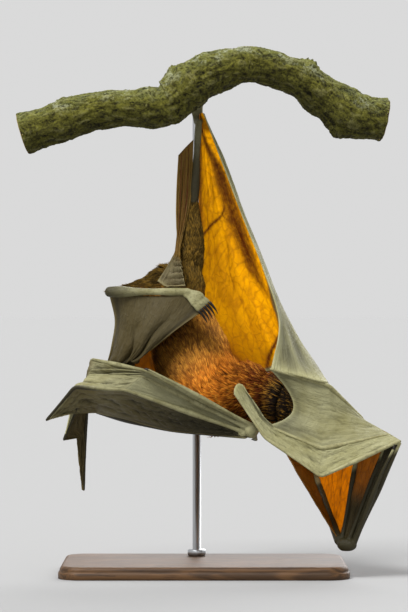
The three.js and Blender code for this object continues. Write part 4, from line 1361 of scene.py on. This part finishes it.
def ease(skin, middle, reach, rounds):
    """Softens the bends of a skin round one place: again and again each point moves towards the
    mean of its neighbours, by a share that falls from a half to 0 within its reach in mm."""
    points = np.empty(len(skin.vertices) * 3, np.float32)
    edges = np.empty(len(skin.edges) * 2, np.int32)
    skin.vertices.foreach_get("co", points)
    skin.edges.foreach_get("vertices", edges)
    points, edges = points.reshape(-1, 3).astype(float), edges.reshape(-1, 2)
    far = np.linalg.norm(points / MM - middle, axis=1)
    share = 0.5 * (1 - step(0.55 * reach, reach, far))[:, None]
    ends, others = edges.T.ravel(), edges[:, ::-1].T.ravel()
    near = share[ends, 0] > 0
    ends, others = ends[near], others[near]
    count = len(points)
    neighbours = np.maximum(np.bincount(ends, minlength=count), 1)[:, None]
    for _ in range(rounds):
        sums = np.stack([np.bincount(ends, points[others, k], count) for k in range(3)], -1)
        points = points + share * (sums / neighbours - points)
    skin.vertices.foreach_set("co", points.astype(np.float32).ravel())
    skin.update()


SKIN = body_skin()
for bend in BENDS.values():
    ease(SKIN, *bend)
add_piece(SKIN, COAT_SKIN, FLESH_NODES)


# ---------- Eyes and ears ----------

EYE_WAY = (0.36, 0.86, 0.36)  # where an eye looks: ahead, aside and up
LID_OPENING, LID_WIDTH = np.radians(46), np.radians(48)
# Rings of a lid, out over its top and back inside the ball: how far across the lid each lies,
# and how far above the ball in mm.
LID = [
    (0, 0.15), (0.06, 0.75), (0.16, 0.95), (0.4, 0.9), (0.7, 0.7),
    (1, 0.3), (1, -0.6), (0.7, -0.5), (0.4, -0.4), (0.1, -0.2),
]


def eye(side, sign):
    """A ball that looks out to the side, and a lid round it: a thick shell over the ball with an
    almond opening, its rim almost 1 mm proud of the eye."""
    middle = np.array(EYE_PLACE, float) + [0, 0, sign * EYE_ASIDE]
    out = unit(sign * HEAD_RIGHT * EYE_WAY[1] + HEAD_UP * EYE_WAY[2] + HEAD_AXIS * EYE_WAY[0])
    ahead = unit(HEAD_AXIS - np.dot(HEAD_AXIS, out) * out)
    above = np.cross(out, ahead) * sign
    a = np.linspace(0, 2 * np.pi, 48, endpoint=False)[None, :, None]
    away = np.linspace(0.02, np.pi - 0.02, 40)
    round_way = np.cos(a) * ahead + np.sin(a) * above
    ball = middle + EYE_RADIUS * (np.sin(away)[:, None, None] * round_way + np.cos(away)[:, None, None] * out)
    mesh = make_mesh(f"eye_{side}_ball", *closed_tube(ball))
    span = np.stack(np.broadcast_arrays(np.abs(a[..., 0] / np.pi - 1), away[:, None] / np.pi), -1)
    add_uv(mesh, "Span", np.concatenate([span.reshape(-1, 2), [[0, 0], [0, 1]]]))
    add_piece(mesh, EYEBALL, [f"eye_{side}"])
    slit = LID_OPENING * (0.72 + 0.28 * np.abs(np.cos(a[..., 0])))[..., None]
    over, height = np.array(LID, float).T[..., None, None]
    angle = slit + over * LID_WIDTH
    lid = middle + (EYE_RADIUS + height) * (np.sin(angle) * round_way + np.cos(angle) * out)
    rows, columns = lid.shape[:2]
    ring = grid_faces(rows, columns, True)
    close = grid_faces(2, columns, True)
    close = np.where(close >= columns, close - columns, close + (rows - 1) * columns)
    points, faces = outward(lid.reshape(-1, 3), [ring, close])
    add_piece(make_mesh(f"eye_{side}_lid", points, faces), DARK_SKIN)


eye(RIGHT, 1)
eye(LEFT, -1)

EAR = {
    "length": 36, "width": 17, "cup": 4.6, "root": (75, 2, 162), "aside": 15,
    "way": (-0.12, 0.86, 0.5), "across": (0.9, 0.2, 0.1),
}


def ear(side, sign):
    """A pointed leaf, hollowed to the front and rolled in at its root, with a thick rim and fine
    ribs across its inside. u runs across it, v from the root to the tip."""
    root = np.array(EAR["root"], float) + [0, 0, sign * EAR["aside"]]
    up = unit(np.array(EAR["way"]) * [1, 1, sign])
    across = unit(np.cross(np.cross(np.array(EAR["across"]) * [1, 1, sign], up), up))
    front = np.cross(up, across)
    rows, columns = 60, 48
    u, v = np.meshgrid(np.linspace(-1, 1, columns), np.linspace(0, 1, rows))
    half = EAR["width"] / 2 * np.sqrt(np.clip(1 - (1.72 * v - 0.72) ** 2 * 0.985, 0.02, 1)) * (1 - 0.12 * v)
    cup = EAR["cup"] * np.abs(u) ** 2.2 * (1.5 - v) + 0.5 * v ** 2
    ribs = 0.16 * np.sin(v * 52) * (1 - u ** 2) * (1 - step(0.75, 0.95, v))
    curl = 1 - 0.35 * (1 - v) * np.abs(u) ** 3
    flat = (u * half * curl)[..., None] * across + (EAR["length"] * v - 3 * u ** 2 * (1 - v))[..., None] * up
    middle = root + flat + (cup * half / (EAR["width"] / 2) + ribs)[..., None] * front
    half_thick = (0.45 + 0.35 * np.abs(u) ** 6 + 0.8 * (1 - v) ** 2)[..., None]
    mesh = make_mesh(f"ear_{side}_leaf", *slab(middle, half_thick))
    add_piece(mesh, DARK_SKIN, [f"ear_{side}"])


ear(RIGHT, 1)
ear(LEFT, -1)


# ---------- Coat ----------

# For each part of the coat: its tufts, how many share a lock, their length and width in mm,
# and its cell in the bake map. On the head, the sizes come from HEAD_TUFTS.
COAT_PARTS = {
    "belly_high": {"tufts": 19500, "lock": 9, "length": 15, "width": 1.0, "cell": (0, 0)},
    "belly_low": {"tufts": 19500, "lock": 9, "length": 16, "width": 1.0, "cell": (0, 1)},
    "back": {"tufts": 16500, "lock": 9, "length": 13, "width": 1.02, "cell": (1, 0)},
    "mantle": {"tufts": 19500, "lock": 9, "length": 14, "width": 0.95, "cell": (2, 0)},
    "thigh_right": {"tufts": 9000, "lock": 6, "length": 9, "width": 0.7, "cell": (3, 0)},
    "thigh_left": {"tufts": 8500, "lock": 14, "length": 13, "width": 0.75, "cell": (1, 1)},
    "arm_right": {"tufts": 5000, "lock": 12, "length": 7, "width": 0.7, "cell": (2, 1)},
    "arm_left": {"tufts": 4000, "lock": 10, "length": 6, "width": 0.7, "cell": (3, 1)},
    "head": {"tufts": 14000, "lock": 10, "cell": (4, 0)},
}
# Sizes of the tufts on the head in mm, by distance along its axis, and how thickly they stand.
HEAD_TUFTS = {
    "lengths": ([0, 12, 24, 34, 48, 58], [11, 8, 5, 3.2, 1.8, 1.0]),
    "widths": ([0, 24, 40, 58], [0.8, 0.6, 0.42, 0.3]),
    "depths": ([0, 12, 24, 34, 58], [3.6, 2.6, 1.5, 0.9, 0.35]),
    "sowing": ([0, 30, 50, 57, 59], [0.6, 1.5, 2.4, 2.0, 0]),
}
# How the length and the depth of the hair change along a part, by the share of its length.
ALONG_PARTS = {
    "arm": (([0, 0.5, 0.8, 1], [1, 0.7, 0.3, 0.2]), ([0, 0.5, 0.8, 1], [1, 0.5, 0.15, 0.1])),
    "thigh": (([0, 0.6, 1], [1, 0.9, 0.5]), ([0, 0.6, 1], [1, 0.85, 0.3])),
}
TRUNK_END = ([0, 0.1, 0.2], [0.4, 0.6, 1])  # the same for the length at the trunk's upper end
ELBOW_START = 0.45  # the share of the left upper arm beyond which it is bare
MANTLE_START = 14  # the mantle lies beyond this X
DRAWN_IN = 0.45  # how far the tips of a lock meet
# The bake map: its cells, the margin inside a cell, and how large a tuft is on it.
MAP_COLUMNS, MAP_ROWS, MAP_EDGE, PATCH = 5, 2, 0.01, 0.003
BELLY_HALFWAY = 200  # the height between the belly's two pieces of coat
# -1 where the hair lies from the last stop of a part to the first; on limbs it lies outwards.
HAIR_WAY = {"trunk": -1, "breast": -1, "shoulders": -1, "head": -1}


def flesh_axes():
    """For each part of the flesh: places along its middle, the way its hair lies there, and its
    half width there."""
    shares = np.linspace(0, 1, 80)
    axes = {}
    for name, stops in FLESH.items():
        stops = np.array(stops, float)
        axes[name] = spline(stops[:, :3], shares), profile(stops[:, 3], shares)
    ahead = np.linspace(8, 60, 80)
    table = np.array(HEAD, float)
    axes["head"] = head_point(ahead, 0 * ahead, 0 * ahead), np.interp(ahead, table[:, 0], table[:, 1])
    return {
        name: (middle, unit(np.gradient(middle, axis=0)) * HAIR_WAY.get(name, 1), size)
        for name, (middle, size) in axes.items()
    }


def skin_triangles():
    """The skin's corner points, their normals, and its triangles."""
    SKIN.calc_loop_triangles()
    points = np.empty(len(SKIN.vertices) * 3, np.float32)
    normals = np.empty(len(SKIN.vertices) * 3, np.float32)
    corners = np.empty(len(SKIN.loop_triangles) * 3, np.int32)
    SKIN.vertices.foreach_get("co", points)
    SKIN.vertices.foreach_get("normal", normals)
    SKIN.loop_triangles.foreach_get("vertices", corners)
    return points.reshape(-1, 3) / MM, normals.reshape(-1, 3), corners.reshape(-1, 3)


def nearest(points, axes):
    """For each point: the part of the flesh it is on, its share along that part, and the way the
    hair lies, as a mean of the near parts weighted by exp(-4 d^2)."""
    names = list(axes)
    far, share, lie = [], [], []
    for name in names:
        middle, way, size = axes[name]
        gap = np.linalg.norm(points[:, None] - middle[None], axis=-1) / size[None]
        best = gap.argmin(1)
        far.append(gap.min(1))
        share.append(best / (len(middle) - 1))
        lie.append(way[best])
    far, share, lie = np.array(far), np.array(share), np.array(lie)
    part = far.argmin(0)
    weight = np.exp(-4 * (far ** 2 - far.min(0) ** 2))[..., None]
    return np.array(names)[part], share[part, np.arange(len(part))], unit((weight * lie).sum(0))


def turn_round(points, middle, way):
    """The turn of a point round an axis, 0 to 1, from the axis's own front."""
    side = unit(np.cross(way, np.array([0.13, 0.2, 1.0])))
    front = np.cross(way, side)
    out = points - middle
    return np.arctan2((out * front).sum(-1), (out * side).sum(-1)) / (2 * np.pi) + 0.5


def lock_leaders(roots, leaders):
    """For each root the number of the nearest leader, worked out for a block of roots at a time."""
    blocks = np.array_split(roots, len(roots) // 1500 + 1)
    return np.concatenate([((block[:, None] - leaders[None]) ** 2).sum(-1).argmin(1) for block in blocks])


def tufts(name, roots, normals, lie, lengths, widths, depths, uv, lock_size, seed):
    """Tufts as thin wedges: a three-cornered root just under the skin, a three-cornered middle
    that has risen most of the coat's depth, and a point that lies back along the body. Smooth
    noise turns them. Neighbours form a lock: their tips are drawn towards the tip of a leader,
    and they share most of its shade and rise."""
    draw = np.random.default_rng(seed)
    count = len(roots)
    swing = 0.3 * ripples(roots, 24, 71) + 0.12 * ripples(roots, 7, 72) + 0.1 * draw.normal(size=count)
    along = unit(lie - (lie * normals).sum(-1, keepdims=True) * normals)
    aside = np.cross(normals, along)
    way = np.cos(swing)[:, None] * along + np.sin(swing)[:, None] * aside
    leader = lock_leaders(roots, roots[:count // lock_size])
    lock = draw.uniform(-1, 1, count)[leader]
    lengths = (lengths * (0.85 + 0.1 * lock + 0.16 * draw.uniform(-1, 1, count)))[:, None]
    rise = (depths * (0.84 + 0.1 * lock + 0.14 * draw.uniform(-1, 1, count)))[:, None]
    wide = (widths * draw.uniform(0.7, 1.2, count))[:, None]
    middle = roots + 0.42 * lengths * way + 0.66 * rise * normals
    tip = roots + 0.9 * lengths * way + rise * normals
    tip = tip + DRAWN_IN * (tip[leader] - tip)
    middle = middle + 0.3 * DRAWN_IN * (middle[leader] - middle)
    across = np.cross(normals, way)
    root = roots - 0.4 * normals
    keel = 0.4 * wide * normals
    points = np.stack([
        root - wide / 2 * across, root + wide / 2 * across, root + keel,
        middle - 0.42 * wide * across, middle + 0.42 * wide * across, middle + keel, tip,
    ], 1).reshape(-1, 3)
    quads = np.array([[0, 1, 4, 3], [1, 2, 5, 4], [2, 0, 3, 5]])
    triangles = np.array([[3, 4, 6], [4, 5, 6], [5, 3, 6], [0, 2, 1]])
    first = 7 * np.arange(count)[:, None, None]
    faces = [(quads[None] + first).reshape(-1, 4), (triangles[None] + first).reshape(-1, 3)]
    mesh = make_mesh(name, *outward(points, faces))
    corner = np.array([[-1, -1], [1, -1], [0, -0.6], [-0.8, 0.2], [0.8, 0.2], [0, 0.3], [0, 1]]) * PATCH / 2
    add_uv(mesh, "OFBake", (uv[:, None] + corner[None]).reshape(-1, 2))
    shade = np.clip(0.48 + 0.3 * lock + 0.34 * draw.uniform(-1, 1, count), 0, 1)
    height = np.array([0, 0, 0, 0.45, 0.45, 0.5, 1.0])
    add_uv(mesh, "Lock", np.stack(np.broadcast_arrays(shade[:, None], height[None]), -1).reshape(-1, 2))
    return mesh


def coat_regions(centres, out, parts):
    """The part of the coat that each triangle of the skin is in."""
    front = np.where(centres[:, 2] > BELLY_HALFWAY, "belly_high", "belly_low")
    sided = np.where(out[:, 1] < 0, front, "back")
    region = np.where(np.isin(parts, ["trunk", "breast", "shoulders"]), sided, parts)
    return np.where((parts == "shoulders") & (centres[:, 0] > MANTLE_START), "mantle", region)


def sowing(name, weights, centres, ahead, own):
    """How thickly the tufts stand: none beyond the left elbow, on the eyes or on the nose, and
    more towards the muzzle."""
    if name == "arm_left":
        weights = weights * (own < ELBOW_START)
    if name == "head":
        weights = weights * np.interp(ahead, *HEAD_TUFTS["sowing"])
        for sign in (1, -1):
            middle = np.array(EYE_PLACE, float) + [0, 0, sign * EYE_ASIDE]
            weights = weights * (np.linalg.norm(centres - middle, axis=-1) > EYE_RADIUS + 1.2)
    return weights / weights.sum()


def tuft_sizes(name, form, parts, ahead, own):
    """The length and the width of each tuft of a part of the coat, and the coat's depth there."""
    if name == "head":
        return [np.interp(ahead, *HEAD_TUFTS[size]) for size in ("lengths", "widths", "depths")]
    lengths = np.full(len(own), float(form["length"]))
    widths = np.full(len(own), form["width"])
    depths = np.select([parts == key for key in DEPTH], list(DEPTH.values()))
    if name.startswith(("arm", "thigh")):
        by_length, by_depth = ALONG_PARTS[name.split("_")[0]]
        lengths = lengths * np.interp(own, *by_length)
        depths = depths * np.interp(own, *by_depth)
    if name.startswith(("belly", "back")):
        lengths = lengths * np.where(parts == "trunk", np.interp(own, *TRUNK_END), 1)
    return lengths, widths, depths


def coat_pieces():
    """Sows roots on the skin, evenly by area within each part, and grows a tuft from each."""
    points, normals, corners = skin_triangles()
    axes = flesh_axes()
    edges = points[corners[:, 1]] - points[corners[:, 0]], points[corners[:, 2]] - points[corners[:, 0]]
    areas = np.linalg.norm(np.cross(*edges), axis=-1) / 2
    centres = points[corners].mean(1)
    parts, own, lie = nearest(centres, axes)
    region = coat_regions(centres, normals[corners].mean(1), parts)
    ahead = (centres - HEAD_ORIGIN) @ HEAD_AXIS
    cell = np.array([1 / MAP_COLUMNS, 1 / MAP_ROWS])
    for number, (name, form) in enumerate(COAT_PARTS.items()):
        draw = np.random.default_rng(100 + number)
        chances = sowing(name, areas * (region == name), centres, ahead, own)
        chosen = draw.choice(len(chances), form["tufts"], p=chances)
        a, b = draw.uniform(size=(2, form["tufts"], 1))
        flip = a + b > 1
        a, b = np.where(flip, 1 - a, a), np.where(flip, 1 - b, b)
        pick = corners[chosen]
        roots = points[pick[:, 0]] * (1 - a - b) + points[pick[:, 1]] * a + points[pick[:, 2]] * b
        up = unit(normals[pick[:, 0]] * (1 - a - b) + normals[pick[:, 1]] * a + normals[pick[:, 2]] * b)
        sizes = tuft_sizes(name, form, parts[chosen], ahead[chosen], own[chosen])
        middle, way = axes[parts[chosen[0]]][:2]
        at = np.round(own[chosen] * (len(middle) - 1)).astype(int)
        turn = turn_round(roots, middle[at], way[at])
        inside = np.stack([turn, own[chosen]], -1) * (cell - 2 * MAP_EDGE) + MAP_EDGE
        uv = inside + np.array(form["cell"]) * cell
        mesh = tufts("coat_" + name, roots, up, lie[chosen], *sizes, uv, form["lock"], 200 + number)
        add_piece(mesh, COAT)


coat_pieces()


# ---------- Light, floor and camera ----------

# Suns: the way the light travels, its strength, and the width of its disc in degrees.
SUNS = {
    "key": ((0.4, 0.55, -1.0), 3.4, 26),
    "behind": ((-0.35, -0.85, -0.6), 2.4, 50),
}
SURROUND, FLOOR = 0.7, 0.345  # how bright the surround is, and how pale the floor
FLOOR_REACH = 60  # metres to each side
CAMERA_BACK, CAMERA_HEIGHT, FRAME_HEIGHT = 2600, 252, 575.3
SENSOR = 36  # the height of the camera's sensor in mm


def studio():
    """A plain floor and surround that meet in one pale tone, a soft key from the upper left, and
    a broad light behind that comes through the thin skin."""
    world = bpy.data.worlds.new("surround")
    world.use_nodes = True
    back = world.node_tree.nodes["Background"]
    back.inputs["Color"].default_value = (1, 1, 1, 1)
    back.inputs["Strength"].default_value = SURROUND
    bpy.context.scene.world = world
    floor = bpy.data.meshes.new("floor")
    corners = [(x * FLOOR_REACH, y * FLOOR_REACH, 0) for x, y in ((-1, -1), (1, -1), (1, 1), (-1, 1))]
    floor.from_pydata(corners, [], [(0, 1, 2, 3)])
    paint = Finish("floor_paint", Roughness=1.0, Specular_IOR_Level=0.0, Base_Color=(FLOOR, FLOOR, FLOOR, 1))
    floor.materials.append(paint.material)
    piece = bpy.data.objects.new("floor", floor)
    bpy.context.scene.collection.objects.link(piece)
    for name, (way, strength, wide) in SUNS.items():
        lamp = bpy.data.lights.new(name, "SUN")
        lamp.energy = strength
        lamp.angle = np.radians(wide)
        light = bpy.data.objects.new(name, lamp)
        light.rotation_euler = Vector(way).to_track_quat("-Z", "Y").to_euler()
        bpy.context.scene.collection.objects.link(light)


def camera():
    """A level camera that frames FRAME_HEIGHT at the model's middle plane."""
    lens = bpy.data.cameras.new("camera")
    eye_place = bpy.data.objects.new("camera", lens)
    bpy.context.scene.collection.objects.link(eye_place)
    eye_place.location = (0, -CAMERA_BACK * MM, CAMERA_HEIGHT * MM)
    eye_place.rotation_euler = (np.pi / 2, 0, 0)
    lens.sensor_fit = "VERTICAL"
    lens.sensor_height = SENSOR
    lens.lens = SENSOR * CAMERA_BACK / FRAME_HEIGHT
    lens.clip_end = 100
    bpy.context.scene.camera = eye_place


studio()
camera()
bpy.context.scene.view_settings.view_transform = "Standard"
